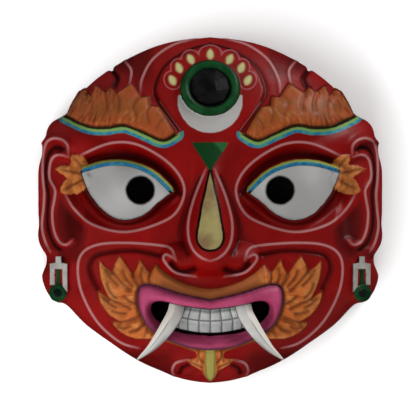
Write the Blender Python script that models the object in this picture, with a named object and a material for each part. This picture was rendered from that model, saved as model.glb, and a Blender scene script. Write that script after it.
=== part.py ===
"""Lakhey mask: a demon mask moulded in papier-mache, with inserted tusks and a glass forehead disc.

The mask lies on the flat rim of its open back: face up (+Z), crown towards +Y, origin on the
ground under the middle of its outline.  The carving is drawn on a grid of parts, GRID_HIGH of
which make the mask's height, with x = 0 on the mirror line.  Curves give the half at -X only,
and heights of the carving are in parts too, so the whole face keeps its proportions.
"""

import math

import bmesh
import bpy
import numpy as np
from mathutils import Vector
from mathutils.bvhtree import BVHTree

# Driving dimensions in metres
MASK_HEIGHT = 0.350
WALL = 0.007
SIDE_HEIGHT = 0.030
DOME_RISE = 0.078
SEAT_GAP = 0.0003
DISC_RADIUS = 0.0200
DISC_THICKNESS = 0.0050
DISC_SEAT_DEPTH = 0.0020
DISC_CROWN = 0.0020
TUSK_WIDTH = 0.0165
TUSK_THICKNESS = 0.0100
TUSK_SOCKET_DEPTH = 0.0030
TUSK_CLEARANCE = 0.0030
TUSK_DROOP = 0.0100

# The drawing grid of the carving
GRID_HIGH = 347.0
PART = MASK_HEIGHT / GRID_HIGH

# Fineness of the modelling mesh before it is reduced to facets
FACE_CELLS = 150
BACK_CELLS = 50
SHOULDER_RINGS = 12
SIDE_RINGS = 4
GRID_REACH = 0.88
TRIANGLES = 7600
RIM_ALLOWANCE = 0.003
DISC_SIDES = 48
TUSK_SIDES = 12
TUSK_STEPS = 4

# Shape of the dome: how round it is from crown to rim, and how the side draws in
DOME_FULLNESS = 3.0
DOME_SHOULDER = 0.5
SIDE_DRAFT = 0.015

# Outline of the mask from crown to chin
OUTLINE = [(0, 173.5), (-46, 167), (-86, 150), (-120.5, 126), (-137.5, 101), (-144, 93.5),
           (-158, 87.5), (-164, 78), (-162.8, 67), (-163.8, 56), (-165.3, 40), (-164.3, 17),
           (-164.3, 3), (-165.3, -24), (-163.5, -39), (-164, -53), (-168.8, -66), (-165.5, -79),
           (-160.5, -87), (-154, -92.5), (-143.5, -96), (-120.5, -118.5), (-74.5, -149),
           (-37, -164), (0, -168.5)]

# Swells of the face: height, centre and half widths
SWELLS = [
    (6, (-88, 90), (84, 40)),     # forehead over the brow
    (4, (-112, -30), (44, 34)),   # cheekbone
    (15, (0, -108), (108, 68)),   # muzzle
    (7, (0, -158), (52, 26)),     # chin
    (4, (-25, -155), (15, 10)),   # scroll beside the chin
    (3, (-158, 10), (24, 78)),    # ear
]

# Nose: height of its crest and half width of its foot, going down the face, wing and nostril
NOSE_CREST = [(80, 0), (60, 4), (40, 9), (20, 17), (0, 26), (-20, 34), (-38, 38), (-50, 33),
              (-59, 18), (-66, 5), (-74, 0)]
NOSE_FOOT = [(80, 22), (40, 20), (20, 21), (0, 26), (-20, 31), (-45, 33), (-74, 28)]
NOSE_FULLNESS = 2.4
NOSE_WING = (17, (-29, -49), (23, 18))
NOSE_SOFT = 9
NOSTRIL = [(-38, -53), (-33, -59), (-25, -61.5), (-16, -59)]
NOSTRIL_DEEP = 7
NOSTRIL_WIDTH = 3.2

# Brow: lower edge, upper edge of its swelling, the flames' edge and the cuts between them
BROW_LOW = [(-145, 94), (-122.8, 83.8), (-104, 82), (-84.9, 84.1), (-65.4, 76.7), (-47, 69.2),
            (-33.8, 75.5)]
BROW_TOP = [(-33.8, 75.5), (-44, 93), (-60, 101), (-90, 110), (-118, 108), (-145, 94)]
BROW_TIPS = [(-33.8, 75.5), (-41.2, 88.5), (-50.2, 102.7), (-59.2, 104.2), (-60.4, 113.7),
             (-68.2, 112.5), (-78, 126.8), (-92.9, 117), (-98.9, 123.7), (-104.5, 117.7),
             (-115, 125.7), (-119.2, 113.7), (-124.7, 122.7), (-126.6, 119.6), (-128.2, 121.2),
             (-137.9, 108), (-145, 94)]
BROW_CUTS = [[(-119.2, 113.7), (-117, 104), (-118, 96)], [(-104.5, 117.7), (-102, 106), (-103, 97)],
             [(-92.9, 117), (-90, 106), (-91, 97)], [(-68.2, 112.5), (-76.4, 104), (-73, 93)],
             [(-59.4, 104), (-62.5, 95), (-60, 86)], [(-44, 93), (-50, 87), (-53, 81)]]
BROW_SWELL = 7
BROW_SINK = 4
BROW_FLAME_HIGH = 8
BROW_CUT_DEEP = 1.3
BROW_CUT_WIDTH = 1.9
BROW_SIDE = -128
BROW_SIDE_SHARE = 0.6

# Eye: the fold round the socket, the upper and the lower lid, and the eyeball
SOCKET = [(-144.6, 15.8), (-142, 38), (-130.8, 53.7), (-99.8, 66.4), (-71.1, 64.6), (-40.1, 45.7),
          (-25.8, 22.7), (-32.1, 0), (-49.3, -12.6), (-83.8, -21.8), (-115.9, -14.9), (-134.9, 0)]
SOCKET_DEEP = 7
UPPER_LID = [(-128.5, 38.2), (-104, 45), (-80.3, 44.5), (-58, 35.5), (-38.5, 17.5)]
LOWER_LID = [(-38.5, 17.5), (-51.6, 7.8), (-66, -4.5), (-84.9, -9.8), (-103, -3), (-119.4, 15.8),
             (-128.5, 38.2)]
LID_RIM_HIGH = 3
LID_RIM_OUT = 2.5
LID_RIM_WIDTH = 2.8
EYEBALL = ((-83, 18), (56, 38))
EYEBALL_HIGH = 15

# Leaves at the outer corner of the eye, as base, tip and width
CORNER_LEAVES = [((-122, 36), (-138, 55), 15.5), ((-122, 35), (-154, 41.3), 13),
                 ((-119.5, 34), (-149.5, 18.3), 20)]
LEAF_HIGH = 2.5

# Mouth: outer edge of the lips, the opening between them and the teeth
LIPS = [(0, -89.7), (-29.2, -83.3), (-59.8, -74.3), (-71, -79.2), (-70, -99.6), (-56.7, -120),
        (-24.1, -135.3), (0, -138.7)]
MOUTH = [(0, -98.3), (-29.2, -94.5), (-49.6, -90.2), (-58.6, -95), (-54.7, -107.8), (-34.3, -121),
         (0, -125.6)]
LIP_HIGH = 9
MOUTH_DEEP = 14
TEETH_SIDE = 39
TEETH_FOOT = -122.3
TEETH_SPLIT = -110.3
TEETH_ARC = 0.0043
TEETH_HIGH = 9
TOOTH_EDGES = [0, 11.3, 22.4, 31.5, 39]
TOOTH_LEAN = 0.015
TOOTH_GAP_DEEP = 1.3
TOOTH_GAP_WIDTH = 1.5

# Moustache: the edge of its flames, with the lips inside it, and the cuts between them
MOUSTACHE_EDGE = [(0, -78.3), (-8.5, -77.5), (-21.9, -74.2), (-31.9, -70), (-43.5, -63.3),
                  (-53.5, -54.2), (-59.4, -61.9), (-62.5, -60), (-70.2, -48.7), (-72.6, -56),
                  (-76.9, -64.2), (-82.7, -55.8), (-90.2, -45), (-95, -53.3), (-97.2, -61.7),
                  (-104.4, -56.5), (-110.5, -49.7), (-110.6, -58.3), (-109, -69.2),
                  (-105.2, -79.2), (-100.5, -88.7), (-106.5, -84), (-111.7, -79.6),
                  (-111.5, -86), (-109.9, -91.7), (-106, -98.3), (-100, -105.5), (-89.4, -111.7),
                  (-95, -111.2), (-99.4, -111), (-96, -115.8), (-90.2, -121.7), (-81.9, -126.3),
                  (-73.5, -128.7), (-60, -128.7), (-46, -130.5), (-30, -135.6), (-17.5, -140.3),
                  (0, -141)]
MOUSTACHE_CUTS = [[(-102.7, -73), (-100.2, -80.8), (-93.5, -88.3)],
                  [(-100.5, -88.7), (-92, -92.5), (-80, -98)],
                  [(-97.7, -100.8), (-91.9, -102.5), (-84, -103.3)],
                  [(-89.4, -111.7), (-82, -110.5), (-72, -107.5)],
                  [(-97.2, -61.7), (-90, -70), (-80, -80)], [(-76.9, -64.2), (-75, -70), (-71, -76)]]
MOUSTACHE_HIGH = 5
MOUSTACHE_CUT_DEEP = 1.4
MOUSTACHE_CUT_WIDTH = 1.5

# Beard leaves under the lip
BEARD = [(0, -130), (-44, -126), (-30, -135), (-17.5, -139.8), (-13.6, -144), (-15, -147.6),
         (-23.2, -149), (-18.5, -154.5), (-10, -159.8), (-7.8, -164), (-4, -168), (0, -171)]
BEARD_HIGH = 2.5

# Ear: outer rim, inner rim and the hollow between ear and cheek
HELIX = [(-141.7, 57), (-142.3, 64.6), (-147.6, 69.9), (-156.1, 71.6), (-163.5, 67.8),
         (-167.1, 58.3), (-168.1, 43.5), (-167.5, 28.7), (-166.2, 16), (-167.1, 1.2),
         (-168.7, -15.7), (-165.6, -30.5), (-160.3, -41)]
HELIX_HIGH = 5.5
HELIX_WIDTH = 4
ANTIHELIX = [(-142.3, 53), (-151.8, 55.1), (-158.2, 50.9), (-160.7, 41.4), (-160.3, 30.8),
             (-155, 20.3), (-155.4, 11.8), (-157.8, -3), (-156.1, -19.9), (-150.8, -31.5),
             (-143.4, -34.7), (-138.1, -30.5)]
ANTIHELIX_HIGH = 4
ANTIHELIX_WIDTH = 3.2
EAR_HOLLOW = (5, (-136, -8), (11, 32))

# Ear ornament: clasp with its arms, and drop
CLASP = [(-160.3, -53.7), (-154.6, -52.6), (-154.2, -46.3), (-148.8, -46.3), (-148.4, -52.6),
         (-142.4, -53.7), (-142.4, -82), (-147.2, -78), (-147.6, -59), (-155.2, -59),
         (-155.4, -75), (-160.3, -75)]
CLASP_HIGH = 3.5
DROP_CENTRE = (-152.4, -82.9)
DROP_RADIUS = 9.0
DROP_HIGH = 5

# Forehead: plaque edge, and the ring that holds the glass
PLAQUE = [(-29.2, 76.7), (-53.3, 111.1), (-53, 129.5), (-42.4, 146.7), (-20, 160.5), (0, 166.2)]
PLAQUE_FOOT = [(5, 50), (-20, 50)]
PLAQUE_START = 84
PLAQUE_HIGH = 3
RING_CENTRE = (0, 121.3)
RING_TUBE = 5.0
RING_HIGH = 7
RING_RADIUS = DISC_RADIUS / PART + RING_TUBE

# Tusk: its middle line over the lip from the mouth to the tip, and how it narrows
TUSK_LINE = [(-31.8, -91.5), (-35, -103.5), (-42, -115.5), (-50.2, -127), (-60, -138.2),
             (-73.2, -149.2)]
TUSK_OVER_LIP = 0.45
TUSK_TAPER = 2.6
TUSK_TIP_SHARE = 0.06


# Curves and distances on the drawing grid
def curve(points, closed=False, steps=6):
    """Even run of points on a smooth curve through a few given ones."""
    given = [np.array(point, float) for point in points]
    count = len(given)
    spans = count if closed else count - 1
    run = []
    for span in range(spans):
        if closed:
            before, start, end, after = (given[(span + k) % count] for k in (-1, 0, 1, 2))
        else:
            before, start = given[max(span - 1, 0)], given[span]
            end, after = given[span + 1], given[min(span + 2, count - 1)]
        for step in range(steps):
            t = step / steps
            run.append(0.5 * (2 * start + (end - before) * t
                              + (2 * before - 5 * start + 4 * end - after) * t ** 2
                              + (3 * start - before - 3 * end + after) * t ** 3))
    if not closed:
        run.append(given[-1])
    return np.array(run)


def distance_to(x, y, line):
    """Shortest distance from each point to a line of short straight runs."""
    nearest = np.full(np.shape(x), 1e6)
    for (ax, ay), (bx, by) in zip(line[:-1], line[1:]):
        along_x, along_y = bx - ax, by - ay
        share = ((x - ax) * along_x + (y - ay) * along_y) / (along_x ** 2 + along_y ** 2 + 1e-12)
        share = np.clip(share, 0, 1)
        nearest = np.minimum(nearest, np.hypot(x - ax - share * along_x, y - ay - share * along_y))
    return nearest


def is_inside(x, y, shape):
    """True where a point lies inside a closed outline."""
    inside = np.zeros(np.shape(x), bool)
    for (ax, ay), (bx, by) in zip(shape, np.roll(shape, -1, axis=0)):
        straddles = (ay > y) != (by > y)
        crossing = ax + (y - ay) * (bx - ax) / (by - ay if by != ay else 1.0)
        inside ^= straddles & (x < crossing)
    return inside


def depth_inside(x, y, edge, closing=()):
    """Distance inside an outline, negative outside; it may be closed by points with no edge."""
    distance = distance_to(x, y, edge)
    shape = np.vstack([edge, closing]) if len(closing) else edge
    return np.where(is_inside(x, y, shape), distance, -distance)


def past_mirror(points):
    """Points that close a half outline beyond the mirror line."""
    return [(5, points[-1][1]), (5, points[0][1])]


def half_depth(x, y, points):
    """Distance inside the smooth outline whose left half runs from mirror line to mirror line."""
    return depth_inside(x, y, curve(points), past_mirror(points))


def ring_of(points):
    """Closed line that repeats its first point at the end."""
    points = np.array(points, float)
    return np.vstack([points, points[:1]])


# Profiles
def shoulder(depth, width):
    """0 at an edge, rising in a quarter round to 1 a given width inside it."""
    return 1 - (1 - np.clip(depth / width, 0, 1)) ** 2


def slope(depth, width):
    """0 to 1 in an S across an edge, half way up on the edge."""
    t = np.clip(depth / width + 0.5, 0, 1)
    return t * t * (3 - 2 * t)


def mound(x, y, centre, radii, power=1.5):
    """1 at the centre of an ellipse, falling to 0 at its edge."""
    inside = 1 - ((x - centre[0]) / radii[0]) ** 2 - ((y - centre[1]) / radii[1]) ** 2
    return np.clip(inside, 0, None) ** power


def ridge(distance, width):
    """1 on a line, falling off to its sides."""
    return np.exp(-(distance / width) ** 2)


def soft_union(first, second, reach):
    """Greater of two heights over the ground, with the hollow between them filled softly."""
    reach = np.minimum(reach, np.minimum(first, second))
    return (first + second + np.sqrt((first - second) ** 2 + reach ** 2)) / 2


def line_ridge(x, y, points, width):
    """Soft ridge along a smooth curve."""
    return ridge(distance_to(x, y, curve(points)), width)


def cuts(x, y, lines, width):
    """1 on the cuts between flames, falling off to their sides."""
    strength = np.zeros(np.shape(x))
    for line in lines:
        strength = np.maximum(strength, line_ridge(x, y, line, width))
    return strength


def along(y, stations):
    """Value at each height y of a smooth curve through (y, value) stations."""
    run = curve(stations)[::-1]
    return np.interp(y, run[:, 0], run[:, 1])


def petal_depth(x, y, petal):
    """Distance inside a petal that is broad outward and has a blunt point."""
    base, tip, width = petal
    axis = np.subtract(tip, base).astype(float)
    length = np.hypot(*axis)
    axis /= length
    share = ((x - base[0]) * axis[0] + (y - base[1]) * axis[1]) / length
    side = np.abs((x - base[0]) * axis[1] - (y - base[1]) * axis[0])
    half = width / 2 * np.sin(math.pi * np.clip(share, 0, 1) ** 0.85) ** 0.6
    past_end = np.maximum(share - 1, -share) * length
    return np.where(past_end > 0, -past_end - side, half - side)


# Relief of the face in parts, drawn once with soft edges for the whole wall and once crisp
def nose(x, y):
    """Bridge, tip and wings of the nose."""
    across = np.clip(np.abs(x) / along(y, NOSE_FOOT), 0, 1)
    bridge = along(y, NOSE_CREST) * (1 - across ** NOSE_FULLNESS) ** 2
    wing_high, wing_centre, wing_radii = NOSE_WING
    wing = wing_high * mound(x, y, wing_centre, wing_radii, 1.0)
    return soft_union(bridge, wing, NOSE_SOFT)


def eye_forms(x, y, crisp):
    """Hollow of the socket, eyeball and the rim of the lids."""
    socket_depth = depth_inside(x, y, ring_of(curve(SOCKET, closed=True)))
    opening = depth_inside(x, y, np.vstack([curve(UPPER_LID), curve(LOWER_LID)[1:]]))
    ball = EYEBALL_HIGH * mound(x, y, *EYEBALL, 0.5)
    rim = LID_RIM_HIGH * crisp * ridge(opening + LID_RIM_OUT, LID_RIM_WIDTH) * (opening < 0)
    near = 1 - slope(-opening - 6, 12)
    return (ball + rim) * near - SOCKET_DEEP * slope(socket_depth - 5, 12)


def brow_swell(x, y):
    """0 to 1 over the soft edge of the brow's body."""
    body = depth_inside(x, y, np.vstack([curve(BROW_LOW), curve(BROW_TOP)[1:]]))
    return slope(body + 3, 12)


def brow_strength(x):
    """How far the brow stands out: less where it runs over the side of the mask."""
    return 1 - BROW_SIDE_SHARE * slope(BROW_SIDE - x, 24)


def broad_relief(x, y):
    """The large forms, which the inside of the wall follows too."""
    x = -np.abs(x)
    height = nose(x, y) + eye_forms(x, y, crisp=False)
    height = height + BROW_SWELL * brow_swell(x, y) * brow_strength(x)
    height = height - MOUTH_DEEP * slope(half_depth(x, y, MOUTH), 10)
    plaque = depth_inside(x, y, curve(PLAQUE), [(5, PLAQUE[-1][1])] + PLAQUE_FOOT)
    height = height + PLAQUE_HIGH * slope(plaque, 8) * slope(y - PLAQUE_START, 24)
    for high, centre, radii in SWELLS:
        height = height + high * mound(x, y, centre, radii)
    return height


def brow(x, y):
    """Flames of the brow, over the swelling that carries them."""
    flames = depth_inside(x, y, np.vstack([curve(BROW_LOW), BROW_TIPS[1:]]))
    height = BROW_FLAME_HIGH * shoulder(flames, 4)
    grooves = cuts(x, y, BROW_CUTS, BROW_CUT_WIDTH)
    height = height - BROW_CUT_DEEP * grooves * shoulder(flames, 3)
    return (height - BROW_SINK * brow_swell(x, y)) * brow_strength(x)


def corner_leaves(x, y):
    """Leaves at the outer corner of the eye."""
    depth = np.full(np.shape(x), -50.0)
    for petal in CORNER_LEAVES:
        depth = np.maximum(depth, petal_depth(x, y, petal))
    return LEAF_HIGH * shoulder(depth, 3)


def mouth(x, y):
    """Full lips between their outer edge and the mouth, the moustache round them, the teeth."""
    outer = half_depth(x, y, LIPS)
    inner = -half_depth(x, y, MOUTH)
    share = np.clip(outer / (outer + inner + 1e-6), 0, 1)
    full = LIP_HIGH * (4 * share * (1 - share)) ** 0.5
    flames = depth_inside(x, y, np.array(MOUSTACHE_EDGE, float), past_mirror(MOUSTACHE_EDGE))
    whiskers = MOUSTACHE_HIGH * shoulder(flames, 4)
    grooves = cuts(x, y, MOUSTACHE_CUTS, MOUSTACHE_CUT_WIDTH)
    whiskers = whiskers - MOUSTACHE_CUT_DEEP * grooves * shoulder(flames, 3)
    whiskers = whiskers + BEARD_HIGH * shoulder(half_depth(x, y, BEARD), 3)
    whiskers = whiskers * shoulder(-outer, 4)
    return np.where(outer < 0, whiskers, np.where(inner > 0, full, teeth(x, y, -inner)))


def teeth(x, y, in_mouth):
    """Two rows of teeth on the mouth's floor, the gaps between the upper ones leaning in."""
    arc = TEETH_ARC * x ** 2
    block = np.minimum(in_mouth - 0.8, np.minimum(TEETH_SIDE + x, y - TEETH_FOOT - arc))
    over_split = y - TEETH_SPLIT - arc
    gap = np.abs(over_split)
    for edge in TOOTH_EDGES:
        gap = np.minimum(gap, np.abs(x * (1 + TOOTH_LEAN * np.maximum(over_split, 0)) + edge))
    rows = TEETH_HIGH * shoulder(block, 3)
    return rows - TOOTH_GAP_DEEP * ridge(gap, TOOTH_GAP_WIDTH) * (block > 0)


def ear(x, y):
    """Rims and hollow of the ear."""
    height = HELIX_HIGH * line_ridge(x, y, HELIX, HELIX_WIDTH)
    height = height + ANTIHELIX_HIGH * line_ridge(x, y, ANTIHELIX, ANTIHELIX_WIDTH)
    deep, centre, radii = EAR_HOLLOW
    return height - deep * mound(x, y, centre, radii)


def ear_ornament(x, y):
    """Clasp and drop on the lobe."""
    clasp = CLASP_HIGH * shoulder(depth_inside(x, y, ring_of(CLASP)), 1.5)
    across = np.hypot(x - DROP_CENTRE[0], y - DROP_CENTRE[1]) / DROP_RADIUS
    drop = DROP_HIGH * np.sqrt(np.clip(1 - across ** 2, 0, None))
    return np.maximum(clasp, drop)


def forehead_ring(x, y):
    """Raised ring round the glass disc, level inside."""
    across = np.hypot(x - RING_CENTRE[0], (y - RING_CENTRE[1]) / ring_seat()[1][2])
    tube = np.clip(1 - ((across - RING_RADIUS) / RING_TUBE) ** 2, 0, None) ** 0.5
    return RING_HIGH * tube


def crisp_relief(x, y):
    """The carving that stands on the large forms."""
    x = -np.abs(x)
    height = brow(x, y) + corner_leaves(x, y) + mouth(x, y)
    height = height + eye_forms(x, y, crisp=True) - eye_forms(x, y, crisp=False)
    height = height - NOSTRIL_DEEP * line_ridge(x, y, NOSTRIL, NOSTRIL_WIDTH)
    height = height + ear(x, y) + ear_ornament(x, y) + forehead_ring(x, y)
    return height


# The dome that carries the relief
OUTLINE_HALF = curve(OUTLINE, steps=24)
OUTLINE_ANGLE = np.arctan2(np.abs(OUTLINE_HALF[:, 0]), OUTLINE_HALF[:, 1])
OUTLINE_RADIUS = np.hypot(OUTLINE_HALF[:, 0], OUTLINE_HALF[:, 1])


def outline_radius(x, y):
    """Distance from the middle to the outline in the direction of each point."""
    return np.interp(np.arctan2(np.abs(x), y), OUTLINE_ANGLE, OUTLINE_RADIUS)


def dome_share(x, y):
    """0 in the middle of the face, 1 on the outline."""
    return np.hypot(x, y) / outline_radius(x, y)


def dome_frame(x, y, station):
    """Point and outward normal of the plain dome; a station past 1 runs down the side."""
    nudge = 0.5
    share = np.clip(dome_share(x, y), 0, 1)
    slope_x = dome_share(x + nudge, y) - dome_share(x - nudge, y)
    slope_y = dome_share(x, y + nudge) - dome_share(x, y - nudge)
    fall = np.hypot(slope_x, slope_y) + 1e-12
    rise = DOME_RISE / PART
    rest = np.clip(1 - share ** DOME_FULLNESS, 1e-9, 1)
    steep = rise * DOME_SHOULDER * DOME_FULLNESS * share ** (DOME_FULLNESS - 1)
    steep = steep * rest ** (DOME_SHOULDER - 1) * fall / (2 * nudge)
    steep = np.where(station >= 1, 1e6, steep)
    length = np.sqrt(1 + steep ** 2)
    normal = np.stack([slope_x / fall * steep, slope_y / fall * steep, np.ones_like(x)], -1)
    normal = normal / length[..., None]
    down = np.clip(station - 1, 0, 1)
    height = np.where(station >= 1, SIDE_HEIGHT / PART * (1 - down),
                      SIDE_HEIGHT / PART + rise * rest ** DOME_SHOULDER)
    draw_in = 1 - SIDE_DRAFT * down
    return np.stack([x * draw_in, y * draw_in, height], -1), normal


def side_fade(station):
    """1 on the face, falling to 0 down the side, where the relief ends at the rim."""
    return 1 - np.clip(station - 1, 0, 1) ** 2


def seen_position(x, y, normal, fade):
    """Where a dome point stands on the drawing once the large forms have pushed it out."""
    seen_x, seen_y = x, y
    for _ in range(2):
        push = broad_relief(seen_x, seen_y) * fade
        seen_x = x + normal[..., 0] * push
        seen_y = y + normal[..., 1] * push
    return seen_x, seen_y


def face_surface(x, y, station):
    """Points of the outer face in parts."""
    point, normal = dome_frame(x, y, station)
    fade = side_fade(station)
    seen_x, seen_y = seen_position(x, y, normal, fade)
    height = (broad_relief(seen_x, seen_y) + crisp_relief(seen_x, seen_y)) * fade
    return point + normal * height[..., None]


def back_surface(x, y, station):
    """Points of the hollow back: the large forms set back by the wall on every side."""
    point, normal = dome_frame(x, y, station)
    fade = side_fade(station)
    seen_x, seen_y = seen_position(x, y, normal, fade)
    wall = WALL / PART
    lowest = broad_relief(seen_x, seen_y) * fade - wall
    for share in (0.5, 0.85):
        drop = wall * math.sqrt(1 - share ** 2)
        for turn in range(8):
            angle = turn * math.pi / 4
            near_x = seen_x + share * wall * math.cos(angle)
            near_y = seen_y + share * wall * math.sin(angle)
            lowest = np.minimum(lowest, broad_relief(near_x, near_y) * fade - drop)
    inner = point + normal * lowest[..., None]
    inner[..., 2] = np.where(station >= 2, point[..., 2], inner[..., 2])
    return inner


def ring_seat():
    """Middle of the forehead ring's seat in parts, and the direction it faces."""
    x, y = (np.array([value], float) for value in RING_CENTRE)
    point, normal = dome_frame(x, y, np.array([0.0]))
    return (point + normal * broad_relief(x, y)[..., None])[0], normal[0]


# Meshes
def disc_stations(cells, shoulder_rings, side_rings):
    """Grid over the face and rings round it, as stations, angles, faces and the rim loop."""
    side = np.linspace(-1, 1, cells + 1)
    across, up = np.meshgrid(side, side, indexing="ij")
    reach = np.maximum(np.abs(across), np.abs(up))
    wide = np.abs(across) >= np.abs(up)
    ratio = np.where(wide, up / np.where(across == 0, 1, across),
                     across / np.where(up == 0, 1, up)) * math.pi / 4
    angle = np.where(wide, np.where(across >= 0, ratio, ratio + math.pi),
                     np.where(up >= 0, math.pi / 2 - ratio, -math.pi / 2 - ratio))
    columns = cells + 1
    faces = []
    for i in range(cells):
        for j in range(cells):
            first = i * columns + j
            faces.append((first, first + columns, first + columns + 1, first + 1))
    border = [(i, 0) for i in range(cells)] + [(cells, j) for j in range(cells)]
    border += [(cells - i, cells) for i in range(cells)] + [(0, cells - j) for j in range(cells)]
    loop = [i * columns + j for i, j in border]
    loop_angle = np.array([angle[i, j] for i, j in border])
    stations = [(reach * GRID_REACH).ravel()]
    angles = [angle.ravel()]
    steps = [1 - (1 - GRID_REACH) * (1 - (k + 1) / shoulder_rings) ** 2
             for k in range(shoulder_rings)]
    steps += [1 + (k + 1) / side_rings for k in range(side_rings)]
    for step in steps:
        start = sum(len(block) for block in stations)
        ring = [start + k for k in range(len(loop))]
        for k in range(len(loop)):
            after = (k + 1) % len(loop)
            faces.append((loop[after], loop[k], ring[k], ring[after]))
        stations.append(np.full(len(loop), step))
        angles.append(loop_angle)
        loop = ring
    return np.concatenate(stations), np.concatenate(angles), faces, loop


def skin(cells, shoulder_rings, surface):
    """One skin of the mask in metres, with its faces and its rim loop."""
    station, angle, faces, loop = disc_stations(cells, shoulder_rings, SIDE_RINGS)
    away_x, away_y = np.cos(angle), np.sin(angle)
    reach = np.minimum(station, 1) * outline_radius(away_x, away_y)
    points = surface(away_x * reach, away_y * reach, station) * PART
    points[loop, 2] = -RIM_ALLOWANCE
    return points, faces, loop


def shell_mesh():
    """Closed hollow shell: face, back and the rim that joins them a little below the ground."""
    front, front_faces, front_rim = skin(FACE_CELLS, SHOULDER_RINGS, face_surface)
    back, back_faces, back_rim = skin(BACK_CELLS, SHOULDER_RINGS // 2, back_surface)
    offset = len(front)
    per_cell = FACE_CELLS // BACK_CELLS
    faces = front_faces + [tuple(offset + v for v in reversed(face)) for face in back_faces]
    for k, start in enumerate(back_rim):
        end = back_rim[(k + 1) % len(back_rim)]
        outer = [front_rim[(k * per_cell + step) % len(front_rim)] for step in range(per_cell + 1)]
        faces.append(tuple(outer[::-1] + [offset + start, offset + end]))
    mesh = bpy.data.meshes.new("mask_shell")
    mesh.from_pydata(np.vstack([front, back]).tolist(), [], faces)
    return mesh


def stacked_mesh(name, rings):
    """Closed mesh over a stack of rings of equally many points, capped at both ends."""
    form = bmesh.new()
    made = [[form.verts.new(point) for point in ring] for ring in rings]
    for lower, upper in zip(made[:-1], made[1:]):
        for k in range(len(lower)):
            after = (k + 1) % len(lower)
            form.faces.new((lower[k], lower[after], upper[after], upper[k]))
    form.faces.new(made[0][::-1])
    form.faces.new(made[-1])
    mesh = bpy.data.meshes.new(name)
    form.to_mesh(mesh)
    form.free()
    return mesh


def disc_mesh(name, radius, low, high, crown=0.0):
    """Round disc on the tilted seat in the forehead ring, its face crowned."""
    levels = [(radius, low), (radius, high)]
    if crown:
        levels += [(radius * share, high + crown * (1 - share ** 2)) for share in (0.75, 0.35)]
    turns = [2 * math.pi * k / DISC_SIDES for k in range(DISC_SIDES)]
    return stacked_mesh(name, [[(reach * math.cos(turn), reach * math.sin(turn), level)
                                for turn in turns] for reach, level in levels])


def tusk_mesh(name, surface, side, grow=0.0):
    """Curved tusk, broad at the root and pointed at the tip, standing off the lip."""
    line = curve(TUSK_LINE, steps=TUSK_STEPS) * PART
    heights = tusk_heights(surface, line)
    last = len(line) - 1
    rings = []
    for k, (x, y) in enumerate(line):
        narrow = (1 - (k / last) ** TUSK_TAPER) * (1 - TUSK_TIP_SHARE) + TUSK_TIP_SHARE
        half_wide = TUSK_WIDTH / 2 * narrow + grow
        half_thick = TUSK_THICKNESS / 2 * narrow + grow
        ahead = line[min(k + 1, last)] - line[max(k - 1, 0)]
        across = np.array([-ahead[1], ahead[0]]) / np.hypot(*ahead)
        ring = []
        for turn in range(TUSK_SIDES):
            angle = 2 * math.pi * turn / TUSK_SIDES
            offset = across * half_wide * math.cos(angle)
            ring.append(((x + offset[0]) * side, y + offset[1],
                         heights[k] + half_thick * math.sin(angle)))
        rings.append(ring)
    return stacked_mesh(name, rings)


def tusk_heights(surface, line):
    """Height of the tusk's middle line: up from its socket over the lip, then down to its tip."""
    ground = []
    for x, y in line:
        hit = surface.ray_cast(Vector((x, y, MASK_HEIGHT)), Vector((0, 0, -1)))
        ground.append(hit[0].z if hit[0] else 0.0)
    half = TUSK_THICKNESS / 2
    over_mouth = [height for height, (x, y) in zip(ground, line) if y < MOUTH[1][1] * PART]
    root = min(ground[1:4]) + half - TUSK_SOCKET_DEPTH
    over_lip = max(over_mouth) + half + TUSK_CLEARANCE
    heights = []
    for k in range(len(line)):
        share = k / (len(line) - 1)
        lift = math.sin(math.pi / 2 * min(1, share / TUSK_OVER_LIP))
        fall = max(0, share - TUSK_OVER_LIP) / (1 - TUSK_OVER_LIP)
        heights.append(root + (over_lip - root) * lift - TUSK_DROOP * fall ** 2)
    return heights


def box_mesh(name, low, high):
    """Plain box between two corners."""
    form = bmesh.new()
    bmesh.ops.create_cube(form, size=1)
    bmesh.ops.scale(form, vec=Vector(high) - Vector(low), verts=form.verts)
    bmesh.ops.translate(form, vec=(Vector(high) + Vector(low)) / 2, verts=form.verts)
    mesh = bpy.data.meshes.new(name)
    form.to_mesh(mesh)
    form.free()
    return mesh


# Objects, materials and cuts
def material(name, colour, roughness):
    """Plain finish of one piece."""
    finish = bpy.data.materials.new(name)
    finish.use_nodes = True
    shader = finish.node_tree.nodes["Principled BSDF"]
    shader.inputs["Base Color"].default_value = (*colour, 1)
    shader.inputs["Roughness"].default_value = roughness
    shader.inputs["Metallic"].default_value = 0.0
    return finish


def add_object(name, mesh, finish=None):
    """Object in the scene, its faces turned outward and smoothly shaded."""
    form = bmesh.new()
    form.from_mesh(mesh)
    bmesh.ops.recalc_face_normals(form, faces=form.faces)
    form.to_mesh(mesh)
    form.free()
    mesh.shade_smooth()
    piece = bpy.data.objects.new(name, mesh)
    bpy.context.scene.collection.objects.link(piece)
    if finish:
        mesh.materials.append(finish)
    return piece


def cut(piece, name, mesh):
    """Cut a hidden body out of a piece."""
    cutter = add_object(name, mesh)
    cutter.hide_render = True
    cutter.display_type = "WIRE"
    modifier = piece.modifiers.new(name, "BOOLEAN")
    modifier.operation = "DIFFERENCE"
    modifier.object = cutter
    return cutter


def seat_in_ring(piece):
    """Set a piece on the tilted seat in the forehead ring."""
    point, normal = ring_seat()
    piece.rotation_mode = "QUATERNION"
    piece.rotation_quaternion = Vector(normal).to_track_quat("Z", "Y")
    piece.location = Vector(point) * PART


def middle_on_origin(shell):
    """Move everything so that the outline's middle stands over the origin."""
    rows = [corner[1] for corner in shell.bound_box]
    shift = -(min(rows) + max(rows)) / 2
    for piece in bpy.data.objects:
        piece.location.y += shift


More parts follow.
